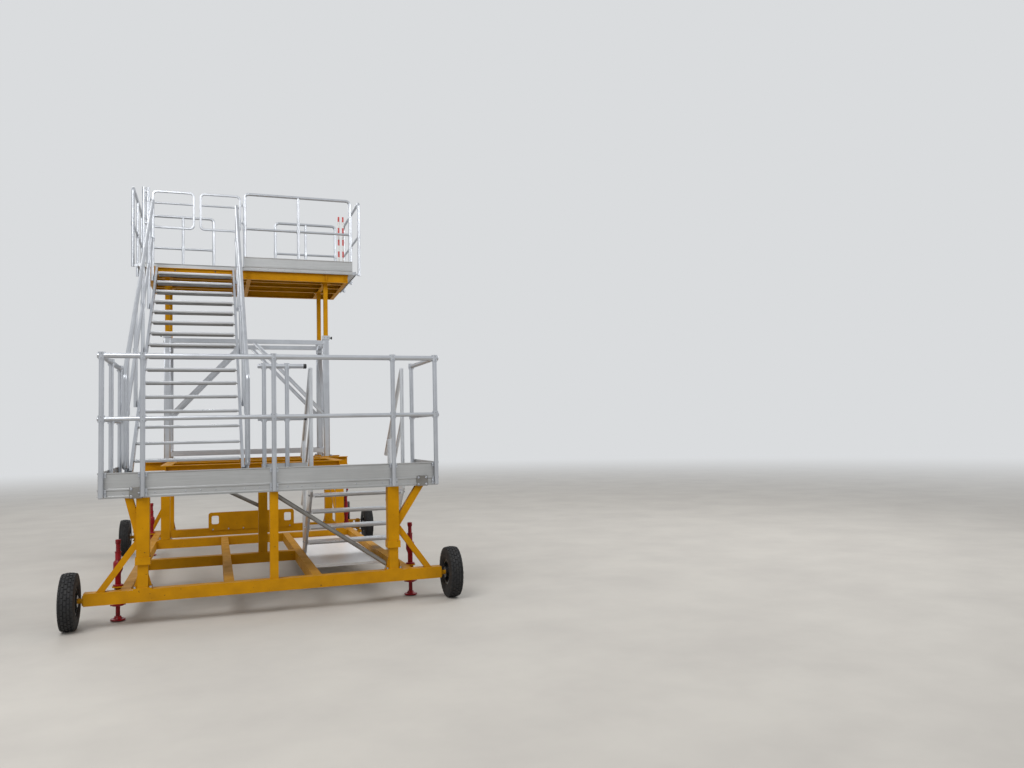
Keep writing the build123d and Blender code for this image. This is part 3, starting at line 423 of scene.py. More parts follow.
def planks(tree, place, shader, bump):
    """Fine anti-slip ribs and plank joints on what faces up, and streaks along the rolled boards."""
    parts = node(tree, "SeparateXYZ", {"Vector": place})
    facing_up = node(tree, "SeparateXYZ", {"Vector": node(tree, "NewGeometry").outputs["True Normal"]})
    level = node(tree, "Math", {0: facing_up.outputs["Z"], 1: 0.9}, operation="GREATER_THAN")
    # Ribs stand 50 mm apart, coarser than the real 8 mm ones so that they show, and planks are 150 mm wide
    rib = node(tree, "Math", {0: parts.outputs["Y"], 1: 0.025}, operation="PINGPONG")
    ridge = node(tree, "MapRange", {"Value": rib, "From Min": 0.010, "From Max": 0.022})
    raised = node(tree, "Math", {0: ridge, 1: level}, operation="MULTIPLY")
    ribs = node(tree, "Bump", {"Height": raised, "Distance": 0.0015, "Strength": 0.8, "Normal": bump})
    tree.links.new(ribs.outputs["Normal"], shader.inputs["Normal"])
    joint = node(tree, "Math", {0: parts.outputs["Y"], 1: 0.075}, operation="PINGPONG")
    seam = node(tree, "Math", {0: joint, 1: 0.0018}, operation="LESS_THAN")
    dark = node(tree, "Math", {0: seam, 1: level}, operation="MULTIPLY")
    cover(tree, shader, dark, "#4A4B4D", 0.7)
    streaks = node(tree, "Mapping", {"Vector": place, "Scale": (1.2, 1.2, 60)})
    drawn = node(tree, "TexNoise", {"Vector": streaks, "Scale": 3.0, "Detail": 4.0})
    light = node(tree, "MapRange", {"Value": drawn, "From Min": 0.45, "From Max": 0.75, "To Max": 0.35})
    cover(tree, shader, light, "#D2D3D3")


def rolled_sheet():
    """Rolled aluminium sheet and plank: a flat grey with drawn streaks, duller than the tubes."""
    return surface("Rolled aluminium sheet", "#B9BABA", "#AFB0B0", 400, 0.42, 0.04, 0.8,
                   grain=8, relief=0.02, extra=planks)


def shade_below_noses(top, rise, middle, half):
    """Painted shade under each tread's nose: a darker, duller band below the top edge, with sizes in metres.
    """
    def tread_shade(tree, place, shader, bump):
        fingered(tree, place, shader, bump)
        height = node(tree, "SeparateXYZ", {"Vector": place}).outputs["Z"]
        above = node(tree, "Math", {0: height, 1: top}, operation="SUBTRACT")
        along = node(tree, "Math", {0: above, 1: rise}, operation="FLOORED_MODULO")
        # A tread is 30 mm thick: its top 12 mm keep their colour, the next 6 mm shade off and the rest is
        # painted shade, darker and duller
        below = node(tree, "MapRange", {"Value": along, "From Min": rise - 0.012,
                                        "From Max": rise - 0.018, "To Max": 0.8})
        under = node(tree, "Math", {0: along, 1: rise - 0.032}, operation="GREATER_THAN")
        dull = node(tree, "Math", {0: below, 1: under}, operation="MULTIPLY")
        # Only the treads get this painted shade, and not the stringers and rails beside them
        across = node(tree, "SeparateXYZ", {"Vector": place}).outputs["X"]
        between = node(tree, "Math", {0: across, 1: middle, 2: half}, operation="COMPARE")
        treads = node(tree, "Math", {0: dull, 1: between}, operation="MULTIPLY")
        cover(tree, shader, treads, "#9B9A98", 0.5)
    return tread_shade


def ribbed_extrusion(name, top, rise, left, right):
    """Extruded aluminium tread: a clean satin grey, with painted shade in a darker, duller band below the
    noses.

    The sizes are in millimetres.
    """
    tread_shade = shade_below_noses(top / 1000, rise / 1000, (left + right) / 2000, (right - left) / 2000)
    return surface(name, "#E0E2E5", "#CFD1D4", 300, 0.3, 0.04, 0.9, grain=8, relief=0.02, extra=tread_shade)


def pale_plate():
    """Anodised aluminium plate: a pale, even face with fine scuffs from shoes."""
    return surface("Anodised aluminium plate", "#F8F9FA", "#ECEEF0", 260, 0.36, 0.06, 0.1,
                   grain=8, relief=0.03, stretch=(1, 0.2, 1))


def black_enamel():
    """Gloss enamel on the pump: near black with a clear highlight."""
    return surface("Black enamel", "#1D1E20", "#2B2B2D", 50, 0.28, 0.07, grain=3.0, relief=0.06, coat=0.3)


def black_nylon():
    """Moulded nylon knobs, caps and rollers: a soft black with a fine texture."""
    return surface("Black moulded nylon", "#202123", "#303133", 30, 0.5, 0.06, grain=1.2, relief=0.05)


def dusty(tree, place, shader, bump):
    """Floor dust in the grooves of the tread and on the side walls."""
    cloud = node(tree, "TexNoise", {"Vector": place, "Scale": 1000 / 45, "Detail": 6.0, "Roughness": 0.7})
    film = node(tree, "MapRange", {"Value": cloud, "From Min": 0.5, "From Max": 0.8, "To Max": 0.3})
    cover(tree, shader, film, "#524E48", 0.9)


def tyre_rubber():
    """Carbon-black rubber, moulded and worn: matt, greyed by floor dust."""
    base = bpy.context.scene.platform_paint.rubber
    return surface("Carbon-black rubber", base, "#161617", 35, 0.72, 0.08, grain=2.0, relief=0.15,
                   extra=dusty)


def zinc_plate():
    """Zinc-plated steel fixings: a bright blue-grey metal with a slightly cloudy shine."""
    return surface("Zinc-plated steel", "#C2C5CA", "#9FA2A8", 12, 0.28, 0.08, 1.0, grain=1.0, relief=0.02)


def fasten(piece, body="chassis", smooth=35):
    """Ends a zinc-plated fixing on its body."""
    return settle(piece, body, zinc_plate(), smooth)


def redden(piece, body="chassis", smooth=40):
    """Ends a red piece of the jacks or the pump on its body."""
    return settle(piece, body, crimson_enamel(), smooth)


def blacken(piece, body="chassis", smooth=35):
    """Ends a piece of black nylon on its body."""
    return settle(piece, body, black_nylon(), smooth)


def bands(tree, place, shader, bump):
    """Bands of red over the white film, each 90 mm high."""
    height = node(tree, "SeparateXYZ", {"Vector": place}).outputs["Z"]
    turn = node(tree, "Math", {0: height, 1: 0.09}, operation="PINGPONG")
    red = node(tree, "Math", {0: turn, 1: 0.045}, operation="GREATER_THAN")
    cover(tree, shader, red, "#C23A35")


def banded_film():
    """Reflective vinyl film wound on a post: red and white bands under a smooth clear face."""
    return surface("Banded vinyl film", "#E6E4E2", "#D4D1CE", 60, 0.3, 0.05, grain=2.5,
                   relief=0.03, coat=0.3, extra=bands)


def seen_rays(tree):
    """1 for a ray from the camera, a shiny face or through glass, and 0 for the light on a matt face."""
    ray = node(tree, "LightPath")
    seen = node(tree, "Math", {0: ray.outputs["Is Camera Ray"], 1: ray.outputs["Is Glossy Ray"]},
                operation="MAXIMUM")
    return node(tree, "Math", {0: seen, 1: ray.outputs["Is Transmission Ray"]}, operation="MAXIMUM")


def sealed_concrete():
    """Sealed concrete floor: pale and matt, and far from the platform it melts into the backdrop."""
    studio = bpy.context.scene.platform_studio
    fade_from, fade_to = 7.0, 34.0
    material = surface("Sealed concrete", studio.floor, "#BCB8B2", 900, 0.7, 0.06, grain=12, relief=0.08)
    tree = material.node_tree
    place = node(tree, "TexCoord").outputs["Object"]
    away = node(tree, "VectorMath", {0: place}, operation="LENGTH")
    fade = node(tree, "MapRange", {"Value": away.outputs["Value"], "From Min": fade_from,
                                   "From Max": fade_to}, interpolation_type="SMOOTHSTEP")
    shown = node(tree, "Math", {0: fade, 1: seen_rays(tree)}, operation="MULTIPLY")
    glow = node(tree, "Emission", {"Color": studio.backdrop, "Strength": 1.0})
    end = next(item for item in tree.nodes if item.bl_idname == "ShaderNodeOutputMaterial")
    near = end.inputs["Surface"].links[0].from_socket
    mixed = node(tree, "MixShader", {0: shown, 1: near, 2: glow})
    tree.links.new(mixed.outputs["Shader"], end.inputs["Surface"])
    return material


class PLATFORM_OT_stage(bpy.types.Operator):
    """Adds the floor, the lamps, the room light and the camera"""
    bl_idname = "platform.stage"
    bl_label = "Studio"

    def execute(self, context):
        studio = context.scene.platform_studio
        floor = add("plane", "studio_floor", (0, 60, 0), size=400)
        bpy.ops.mesh.subdivide(number_cuts=3)
        bpy.ops.object.mode_set(mode="OBJECT")
        floor.data.materials.append(sealed_concrete())
        world = context.scene.world or bpy.data.worlds.new("Studio")
        context.scene.world = world
        world.use_nodes = True
        tree = world.node_tree
        tree.nodes.clear()
        light = node(tree, "Background", {"Color": (1, 1, 1, 1), "Strength": studio.room_light})
        view = node(tree, "Background", {"Color": studio.backdrop, "Strength": 1.0})
        mixed = node(tree, "MixShader", {0: seen_rays(tree), 1: light, 2: view})
        node(tree, "OutputWorld", {"Surface": mixed})
        for name, place, aim, size, power in (
            ("key_lamp", (-4.5, -8.5, 9.5), (0, 0, 1.8), 6, studio.key_power),
            ("side_lamp", (8.5, -2.0, 7.0), (0, 0, 2.2), 5, studio.key_power * 0.45),
            ("back_lamp", (-3.0, 9.0, 9.0), (0, 1, 2.5), 5, studio.key_power * 0.3),
        ):
            lamp = bpy.data.lights.new(name, "AREA")
            lamp.size = size
            lamp.energy = power
            holder = bpy.data.objects.new(name, lamp)
            holder.location = place
            holder.rotation_euler = (Vector(aim) - Vector(place)).to_track_quat("-Z", "Y").to_euler()
            context.scene.collection.objects.link(holder)
        # The photograph was taken at eye height, turned right of the platform's length and slightly tilted
        eye = (-0.490, -10.740, 1.523)
        photo_width, focal_pixels = 1024, 834
        yaw, pitch, roll = math.radians(19.73), math.radians(3.14), math.radians(-1.24)
        ahead = Vector((math.sin(yaw) * math.cos(pitch), math.cos(yaw) * math.cos(pitch), math.sin(pitch)))
        level = Vector((math.cos(yaw), -math.sin(yaw), 0))
        upright = level.cross(ahead)
        right = level * math.cos(roll) + upright * math.sin(roll)
        up = upright * math.cos(roll) - level * math.sin(roll)
        camera = bpy.data.cameras.new("photograph")
        camera.sensor_width = 36
        camera.lens = focal_pixels * camera.sensor_width / photo_width
        camera.clip_end = 500
        view_point = bpy.data.objects.new("photograph", camera)
        turn = Matrix((right, up, -ahead)).transposed().to_4x4()
        view_point.matrix_world = Matrix.Translation(eye) @ turn
        context.scene.collection.objects.link(view_point)
        context.scene.camera = view_point
        context.scene.view_settings.view_transform = "Standard"
        return {"FINISHED"}


class PLATFORM_OT_finishes(bpy.types.Operator):
    """Gives each solid of the frame its finish"""
    bl_idname = "platform.finishes"
    bl_label = "Finishes"

    def execute(self, context):
        groups = (
            (yellow_enamel(), ("chassis_frame", "front_supports", "rear_supports", "tower_base", "rear_plate",
                               "upper_frame", "inner_legs", "knuckle_rl", "knuckle_rr", "tie_rod")),
            (crimson_enamel(), ("jack_tubes",)),
            (drawn_tube(), ("lower_guard", "upper_guards", "side_guard_left", "side_guard_right", "gate_left",
                            "gate_right", "stair_rails", "stair_stringers", "tower_frame")),
            (dark_grey_bar(), ("deck_braces",)),
            (rolled_sheet(), ("lower_deck", "upper_deck")),
            (ribbed_extrusion("Ribbed aluminium stair tread", tread_top, tread_rise, stair_x - stair_half,
                              stair_x + stair_half), [f"tread_{i + 1:02d}" for i in range(tread_count)]),
            (ribbed_extrusion("Ribbed aluminium step", deck_z, step_riser, step_left + 40, step_right - 40),
             ("access_steps",)),
            (pale_plate(), ("landing_plate",)),
            (black_enamel(), ["hand_pump"] + [f"rim_{name}" for name, _, _ in wheels]),
            (black_nylon(), ("foot_roller_left", "foot_roller_right")),
        )
        for material, names in groups:
            for name in names:
                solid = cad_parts[name]
                if not solid.material_slots:
                    raise RuntimeError(f"{name} has no place for a finish")
                for place in solid.material_slots:
                    place.material = material
        return {"FINISHED"}


class PLATFORM_OT_tyres(bpy.types.Operator):
    """Makes the treaded tyres in place of the plain ones"""
    bl_idname = "platform.tyres"
    bl_label = "Tyres"

    def execute(self, context):
        sizes = context.scene.platform_wheels
        depth = sizes.tread_depth * 1000
        wall = [(37.7, 102.3), (37.7, 114.3), (49.5, 118.4), (55, 124), (58.6, 134), (60.2, 141),
                (61.6, 142.5), (61.8, 148), (60.6, 149.6), (61.9, 160), (62.3, 172), (61.4, 186), (58.8, 199),
                (56, 206)]
        shoulder, top = 221.5, 229.7
        crown = [(54, shoulder), (40, 225.8), (32, 227.2), (15, 229.4), (9.5, top)]
        tread = [(along, radius - depth) for along, radius in crown]
        half = wall + tread
        outline = half + [(-along, radius) for along, radius in reversed(half)]
        outline.append(half[0])
        pitch = 5
        steps = sizes.tread_blocks * pitch
        tyre = lathe("tyre_pattern", outline, axis=X, steps=steps)
        # Blocks stand in five rings, each four steps long with a groove one step wide, staggered ring by ring
        rings = ((-54, -40, 0), (-32, -15, 3), (-9.5, 9.5, 1), (15, 32, 3), (40, 54, 0))

        def on_block(middle, normal):
            along, radius = middle.x * 1000, math.hypot(middle.y, middle.z) * 1000
            if radius < shoulder - depth - 2.5:
                return False
            step = int(math.atan2(-middle.y, middle.z) % (2 * math.pi) * steps / (2 * math.pi))
            return any(a < along < b and (step + shift) % pitch for a, b, shift in rings)

        pick(tyre, "FACE", on_block)
        extrude()
        swell = top / (top - depth)
        bpy.ops.transform.resize(value=(1, swell, swell), center_override=(0, 0, 0))
        bpy.ops.object.mode_set(mode="OBJECT")
        round_edges(tyre, 0.0009, angle=45)
        for name, side, y in wheels:
            centre = mm(side * wheel_x, y, wheel_z)
            copy = copies(tyre, f"treaded_tyre_{name}", [Matrix.Translation(centre)])
            settle(copy, f"wheel_{name}", tyre_rubber(), 30)
            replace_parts(copy, f"tyre_{name}")
        discard(tyre)
        return {"FINISHED"}


class PLATFORM_OT_hubs(bpy.types.Operator):
    """Makes the wheel nuts, the hub caps and the valves"""
    bl_idname = "platform.hubs"
    bl_label = "Hubs"

    def execute(self, context):
        sizes = context.scene.platform_wheels
        nut = hex_bolt("wheel_nut_pattern", 0.019, rise=0.7, washer=1.15, thick=0.18)
        nut_seat, valve_place = 0.0085, Vector((0, 0.05, -0.062))
        cap = lathe("hub_cap_pattern", [(50, 40), (53, 40), (55, 37), (55.5, 30), (58, 28), (60.6, 20),
                                        (61.6, 10), (62, 0)], steps=40)
        valve = lathe("valve_pattern", [(4, 7), (10, 6), (18, 4.5), (19, 3.4), (26, 3.2), (26, 4.4),
                                        (34, 4.2), (35, 3), (35, 0)], steps=12)
        for name, side, y in wheels:
            centre = mm(side * wheel_x, y, wheel_z)
            out = X * side
            ring = []
            for i in range(sizes.nuts):
                angle = 2 * math.pi * i / sizes.nuts + 0.3
                spoke = Vector((0, math.sin(angle), math.cos(angle)))
                ring.append(facing(centre + out * nut_seat + spoke * sizes.nut_circle, out, angle))
            wheel = f"wheel_{name}"
            fasten(copies(nut, f"wheel_nuts_{name}", ring), wheel)
            fasten(copies(cap, f"hub_cap_{name}", [facing(centre, out)]), wheel, 50)
            stem = copies(valve, f"valve_{name}", [facing(centre + valve_place, out)])
            blacken(stem, wheel)
        discard(nut, cap, valve)
        return {"FINISHED"}


class PLATFORM_OT_bolts(bpy.types.Operator):
    """Makes the bolts of the feet, the tower, the brackets, the rear plate, the steps and the stair's head"""
    bl_idname = "platform.bolts"
    bl_label = "Bolts"

    def execute(self, context):
        sizes = context.scene.platform_fixings
        # Places of the bolts: from the middle of their foot, plate, clamp or post, from the edge of a step,
        # and from the middle of the machine. Most are turned by their place, so that no row of heads lines up
        foot_bolts_x, foot_bolts_y, plate_bolts, clamp_bolts = (-60, 60), (-38, 38), (-61, 61), (-26, 26)
        bracket_bolts, step_bolts, stair_head_bolts = (-28, 28), (55, 135), (-990, -460)
        rear_plate_bolts = (-500, -300, -110, 110, 300, 500)
        foot = hex_bolt("foot_bolt_pattern", sizes.foot_bolt, washer=1.0)
        tower = hex_bolt("tower_bolt_pattern", sizes.tower_bolt)
        small = hex_bolt("bracket_bolt_pattern", sizes.bracket_bolt, washer=1.05)
        feet = [facing(mm(side * column_x + u, y + v, foot_top), Z, u + v)
                for side in (-1, 1) for y in column_rows for u in foot_bolts_x for v in foot_bolts_y]
        fasten(copies(foot, "foot_bolts", feet))
        plates = [facing(mm(side * tower_x + u, y + v, leg_plate_top), Z, u)
                  for side in (-1, 1) for y in tower_rows for u in plate_bolts for v in plate_bolts]
        fasten(copies(tower, "tower_foot_bolts", plates))
        clamps = [facing(mm(side * tower_x + u, y + out * clamp_face, clamp_middle), Y * out, 0.2)
                  for side in (-1, 1) for y, out in zip(tower_rows, (-1, 1)) for u in clamp_bolts]
        fasten(copies(small, "clamp_bolts", clamps))
        brackets = []
        for x in front_posts:
            for u in bracket_bolts:
                if deck_left < x + u - 5 and x + u + 5 < deck_right:
                    for z in (deck_z - 24, deck_z + toe_height - 18):
                        brackets.append(facing(mm(x + u, deck_front - toe_bead - 8, z), -Y, 0.3 + x))
        fasten(copies(small, "bracket_bolts", brackets))
        plate = [facing(mm(x, rear_plate_y, rear_plate_bolt_z), -Y, 0.1) for x in rear_plate_bolts]
        fasten(copies(foot, "rear_plate_bolts", plate))
        steps = []
        for i in range(step_count):
            z = deck_z - step_riser * (i + 1) - step_thick / 2
            for v in step_bolts:
                for x, out in ((step_left, -1), (step_right, 1)):
                    steps.append(facing(mm(x, step_top_y + step_going * i + v, z), X * out, v))
        fasten(copies(small, "step_bolts", steps))
        low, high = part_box("upper_frame")
        beam = [facing((x / 1000, low.y, high.z - 0.05), -Y) for x in stair_head_bolts]
        blacken(copies(foot, "stair_head_bolts", beam), "platform")
        discard(foot, tower, small)
        return {"FINISHED"}


class PLATFORM_OT_rivets(bpy.types.Operator):
    """Makes the rivets along the toe boards"""
    bl_idname = "platform.rivets"
    bl_label = "Rivets"

    def execute(self, context):
        sizes = context.scene.platform_fixings
        r = sizes.rivet * 500
        rivet = lathe("rivet_pattern", [(0, r), (0.3 * r, 0.95 * r), (0.55 * r, 0.6 * r), (0.62 * r, 0)],
                      steps=10)
        pitch = sizes.rivet_pitch * 1000

        def row(start, end):
            """Places one pitch apart from a start, up to an end."""
            return [start + pitch * i for i in range(math.ceil((end - start) / pitch))]

        # The posts' brackets leave no room for a rivet within 60 mm of a post
        front = [facing(mm(x, deck_front - toe_thick, deck_z - rivet_drop), -Y)
                 for x in row(deck_left + 70, deck_right - 40)
                 if min(abs(x - post) for post in front_posts) > 60]
        fasten(copies(rivet, "toe_board_rivets", front), smooth=60)
        upper = [facing(mm(x, upper_front - upper_toe_out - toe_thick, upper_z - rivet_drop), -Y)
                 for x in row(30, upper_right - 40)]
        fasten(copies(rivet, "platform_board_rivets", upper), "platform", 60)
        discard(rivet)
        return {"FINISHED"}


class PLATFORM_OT_guard_fittings(bpy.types.Operator):
    """Makes the set screws of the guards' fittings and the caps in the open tube ends"""
    bl_idname = "platform.guard_fittings"
    bl_label = "Guard fittings"

    def execute(self, context):
        screw = lathe("set_screw_pattern", [(0, 5.2), (3.2, 5.2), (4, 4.4), (4, 2.6), (1.6, 2.4), (1.6, 0)],
                      steps=12)
        seat, screws_z = fitting_radius - 0.5, (-17, 17)
        heights = [z + v for z in (guard_top, guard_mid) for v in screws_z]
        places = [facing(mm(x, guard_front_y - seat, z), -Y) for x in front_posts for z in heights]
        places += [facing(mm(x + out * seat, y, z), X * out) for x, y, out in side_posts for z in heights]
        fasten(copies(screw, "guard_set_screws", places))
        upper = [facing(mm(x, upper_front + 10 - seat, upper_mid + v), -Y)
                 for x in upper_posts for v in screws_z]
        fasten(copies(screw, "platform_set_screws", upper), "platform")
        cap = lathe("tube_cap_pattern", [(-1, 0), (-1, 19), (0, 21.6), (3, 21.6), (5.5, 19), (6.5, 12),
                                         (7, 0)])
        sleeve = lathe("sleeve_cap_pattern", [(-24, 21.8), (-24, 23), (-23, 23.8), (3, 23.8), (6, 21),
                                              (7.5, 14), (8, 0)])
        open_ends, closed_ends = [], []
        for z, width in ((guard_top, 1), (guard_mid, guard_mid_tube / guard_tube)):
            fitted = Matrix.Scale(width, 4)
            open_ends.append(facing(mm(step_left - 40, guard_rear_y, z), X) @ fitted)
            closed_ends.append(facing(mm(guard_left_x, guard_left_end_y, z), Y) @ fitted)
            closed_ends.append(facing(mm(guard_rear_end_x, guard_rear_y, z), -X) @ fitted)
            closed_ends.append(facing(mm(guard_left_x - fitting_radius, guard_front_y, z), -X) @ fitted)
            closed_ends.append(facing(mm(guard_right_x + fitting_radius, guard_front_y, z), X) @ fitted)
        blacken(copies(sleeve, "guard_tube_caps", open_ends), smooth=50)
        settle(copies(cap, "guard_rail_ends", closed_ends), "chassis", drawn_tube(), 50)
        discard(screw, cap, sleeve)
        return {"FINISHED"}


class PLATFORM_OT_fascia_plates(bpy.types.Operator):
    """Makes the plates that tie the slanted struts to the front toe board"""
    bl_idname = "platform.fascia_plates"
    bl_label = "Fascia plates"

    def execute(self, context):
        thick = 8
        plate = add("cube", "fascia_plate_pattern", size=1, stretch=(0.104, thick / 1000, 0.094))
        pick(plate, "EDGE", lambda middle, run: abs(run.y) > 0.9)
        bpy.ops.mesh.bevel(offset=0.010, segments=3, affect="EDGES")
        pick(plate, "FACE", lambda middle, normal: normal.y < -0.9)
        bpy.ops.mesh.inset(thickness=0.002, depth=0.0012)
        bpy.ops.object.mode_set(mode="OBJECT")
        bolt = hex_bolt("fascia_bolt_pattern", 0.016)
        centres = [(-1085, 1078), (1300, 1078)]
        board = deck_front - toe_bead
        places = [Matrix.Translation(mm(x, board - thick / 2, z)) for x, z in centres]
        settle(copies(plate, "fascia_plates", places), "chassis", dark_grey_bar(), 30)
        bolts = [facing(mm(x + u, board - thick - 1, z + v), -Y, u) for x, z in centres
                 for u in (-36, 36) for v in (-30, 30)]
        fasten(copies(bolt, "fascia_bolts", bolts))
        discard(plate, bolt)
        return {"FINISHED"}


class PLATFORM_OT_welds(bpy.types.Operator):
    """Makes the weld beads round the feet of the columns and posts"""
    bl_idname = "platform.welds"
    bl_label = "Weld beads"

    def execute(self, context):
        # Each ring's place and half its width: the six columns, then the two middle posts on the beams
        rings = [(side * column_x, y, foot_top, 40 if y == 0 else 50)
                 for side in (-1, 1) for y in column_rows]
        rings += [(0, 0, beam_top, 35), (0, middle_post_y, beam_top, 45)]
        beads = []
        for count, (x, y, z, half) in enumerate(rings):
            add("plane", f"bead_{count}", mm(x, y, z), size=half * 0.002)
            bpy.ops.mesh.delete(type="ONLY_FACE")
            bpy.ops.mesh.select_all(action="SELECT")
            bpy.ops.mesh.subdivide(number_cuts=18)
            bpy.ops.transform.vertex_random(offset=0.0012, seed=count + 1)
            bpy.ops.object.mode_set(mode="OBJECT")
            bpy.ops.object.convert(target="CURVE")
            bead = bpy.context.object
            bead.data.bevel_depth = 0.0038
            bead.data.bevel_resolution = 1
            bpy.ops.object.convert(target="MESH")
            beads.append(bpy.context.object)
        settle(join(beads, "weld_beads"), "chassis", yellow_enamel(), 60)
        return {"FINISHED"}


class PLATFORM_OT_stair_nuts(bpy.types.Operator):
    """Makes the nuts on the treads' pins"""
    bl_idname = "platform.stair_nuts"
    bl_label = "Stair nuts"

    def execute(self, context):
        nut = hex_bolt("tread_nut_pattern", 0.024, rise=0.4, washer=1.15, thick=0.1)
        places = [facing(mm(stair_x + side * stringer_web_face, y, z), X * side, y)
                  for side in (-1, 1) for y, z in tread_pins]
        fasten(copies(nut, "tread_nuts", places), "flight")
        discard(nut)
        return {"FINISHED"}


class PLATFORM_OT_jacks(bpy.types.Operator):
    """Makes the jacks: threaded screws with feet, lugged nuts, turning bars and tubes with collars"""
    bl_idname = "platform.jacks"
    bl_label = "Jacks"

    def execute(self, context):
        # The screw travels 60 mm down and 80 mm up: its hub stays below the nut, its head above the tube
        thread_low, thread_high, thread_pitch, bar_z = 46, 634, 8, 658
        bore, nut_low, nut_high, sides = 18.4, 124.6, 150, 32
        outline = [(8, 0), (8, 58), (11, 60), (18, 60), (21, 56), (22, 40), (32, 30), (41, 27), (44, 24),
                   (44, 16.5)]
        for z in range(thread_low, thread_high, thread_pitch):
            outline += [(z, 16.6), (z + 3, 17.9), (z + 5, 17.9)]
        outline += [(640, 16.6), (640, 20), (644, 22), (672, 22), (676, 19), (676, 0)]
        screw = lathe("jack_screw_pattern", outline)
        grip = [(54, 6), (58, 9.5), (66, 9.5), (70, 6), (70, 0)]
        rod = [(-along, radius) for along, radius in reversed(grip)] + grip
        bar = lathe("jack_bar_pattern", rod, steps=16)
        nut = lathe("lugged_nut_pattern", [
            (nut_low, bore), (nut_low, 30), (127, 44), (130, 48), (139, 48), (142, 44), (144, 28),
            (nut_high, 27), (nut_high, bore), (nut_low, bore)], steps=sides)

        def on_lug(middle, normal):
            if on_circle(middle, sides) % 8 not in (0, 1):
                return False
            return 0.1295 < middle.z < 0.1395 and middle.xy.length > 0.046

        pick(nut, "FACE", on_lug)
        extrude()
        bpy.ops.transform.resize(value=(1.24, 1.24, 1), center_override=(0, 0, 0))
        bpy.ops.object.mode_set(mode="OBJECT")
        body = lathe("jack_tube_pattern", [
            (nut_high, bore), (nut_high, 30), (154, 32), (164, 32), (168, 28.6), (286, 28.6), (288, 38),
            (291, 40), (301, 40), (304, 38), (306, 23), (392, 23), (420, 35), (430, 38), (484, 38), (494, 34),
            (502, 25), (506, 23), (566, 23), (568, 26), (575, 26), (577, 24), (577, bore), (nut_high, bore)],
                     steps=sides)
        for name, x, y in jacks:
            base = Matrix.Translation(mm(x, y, 0))
            thread = redden(copies(screw, f"threaded_screw_{name}", [base]), f"jack_{name}", 30)
            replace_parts(thread, f"jack_screw_{name}")
            turned = copies(bar, f"turning_bar_{name}", [facing(mm(x, y, bar_z), Y)])
            redden(turned, f"jack_{name}")
        bases = [Matrix.Translation(mm(x, y, 0)) for _, x, y in jacks]
        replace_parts(redden(copies(body, "collared_tubes", bases)), "jack_tubes")
        redden(copies(nut, "lugged_nuts", bases))
        discard(screw, bar, nut, body)
        return {"FINISHED"}


class PLATFORM_OT_knobs(bpy.types.Operator):
    """Makes the lobed knobs of the leg clamps in place of the plain ones"""
    bl_idname = "platform.knobs"
    bl_label = "Clamp knobs"

    def execute(self, context):
        sides = 30
        knob = lathe("knob_pattern", [(0, 7), (6, 7), (6, 13), (12, 13), (12, 7), (21, 8), (23, 19), (25, 21),
                                      (38, 21), (41, 18), (42, 8), (41, 0)], steps=sides)

        # Two side faces of every five are pressed in, so that the other three stand out as a lobe
        def between_lobes(middle, normal):
            if on_circle(middle, sides) % 5 not in (0, 1):
                return False
            return 0.025 < middle.z < 0.038 and middle.xy.length > 0.02

        pick(knob, "FACE", between_lobes)
        extrude()
        bpy.ops.transform.resize(value=(0.82, 0.82, 0.92), center_override=(0, 0, 0.0315))
        bpy.ops.object.mode_set(mode="OBJECT")
        places = [facing(mm(side * (tower_x + clamp_face), y, clamp_middle), X * side)
                  for side in (-1, 1) for y in tower_rows]
        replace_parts(blacken(copies(knob, "lobed_knobs", places), smooth=40), "clamp_knobs")
        discard(knob)
        return {"FINISHED"}


class PLATFORM_OT_pump(bpy.types.Operator):
    """Makes the pump's band, filler cap and red knobs"""
    bl_idname = "platform.pump"
    bl_label = "Hand pump"

    def execute(self, context):
        tank, skin = mm(tank_x, tank_y, 0), tank_radius + 0.3
        band = [(395, skin), (395, 73), (399, 74), (413, 74), (417, 73), (417, skin)]
        fasten(lathe("tank_band", band, tank, steps=40))
        filler = lathe("filler_cap", [(600, 0), (600, 27), (604, 29), (614, 29), (618, 26), (619, 12),
                                      (626, 11), (628, 0)], tank)
        blacken(filler, smooth=45)
        knob = lathe("pump_knob_pattern", [(-16, 0), (-15, 7), (-9, 13), (0, 16), (9, 13.5), (14, 8),
                                           (16, 0)], steps=20)
        places = [Matrix.Translation(mm(tank_x + u, tank_y, z)) for u, z in ((35, 716), (-45, 668))]
        redden(copies(knob, "pump_knobs", places), smooth=60)
        discard(knob)
        return {"FINISHED"}


class PLATFORM_OT_banded_posts(bpy.types.Operator):
    """Makes the red and white posts in the raised platform's front corner"""
    bl_idname = "platform.banded_posts"
    bl_label = "Banded posts"

    def execute(self, context):
        height, radius = 850, 14
        low, high = upper_z, upper_z + height
        post = lathe("post_pattern", [(low, 0), (low, 28), (low + 5, 28), (low + 8, 18), (low + 9, radius),
                                      (high - 6, radius), (high - 2, 12.5), (high, 9), (high, 0)], steps=20)
        places = [Matrix.Translation(mm(x, upper_front + 110, 0)) for x in (1302, 1366)]
        settle(copies(post, "banded_posts", places), "platform", banded_film(), 40)
        discard(post)
        return {"FINISHED"}


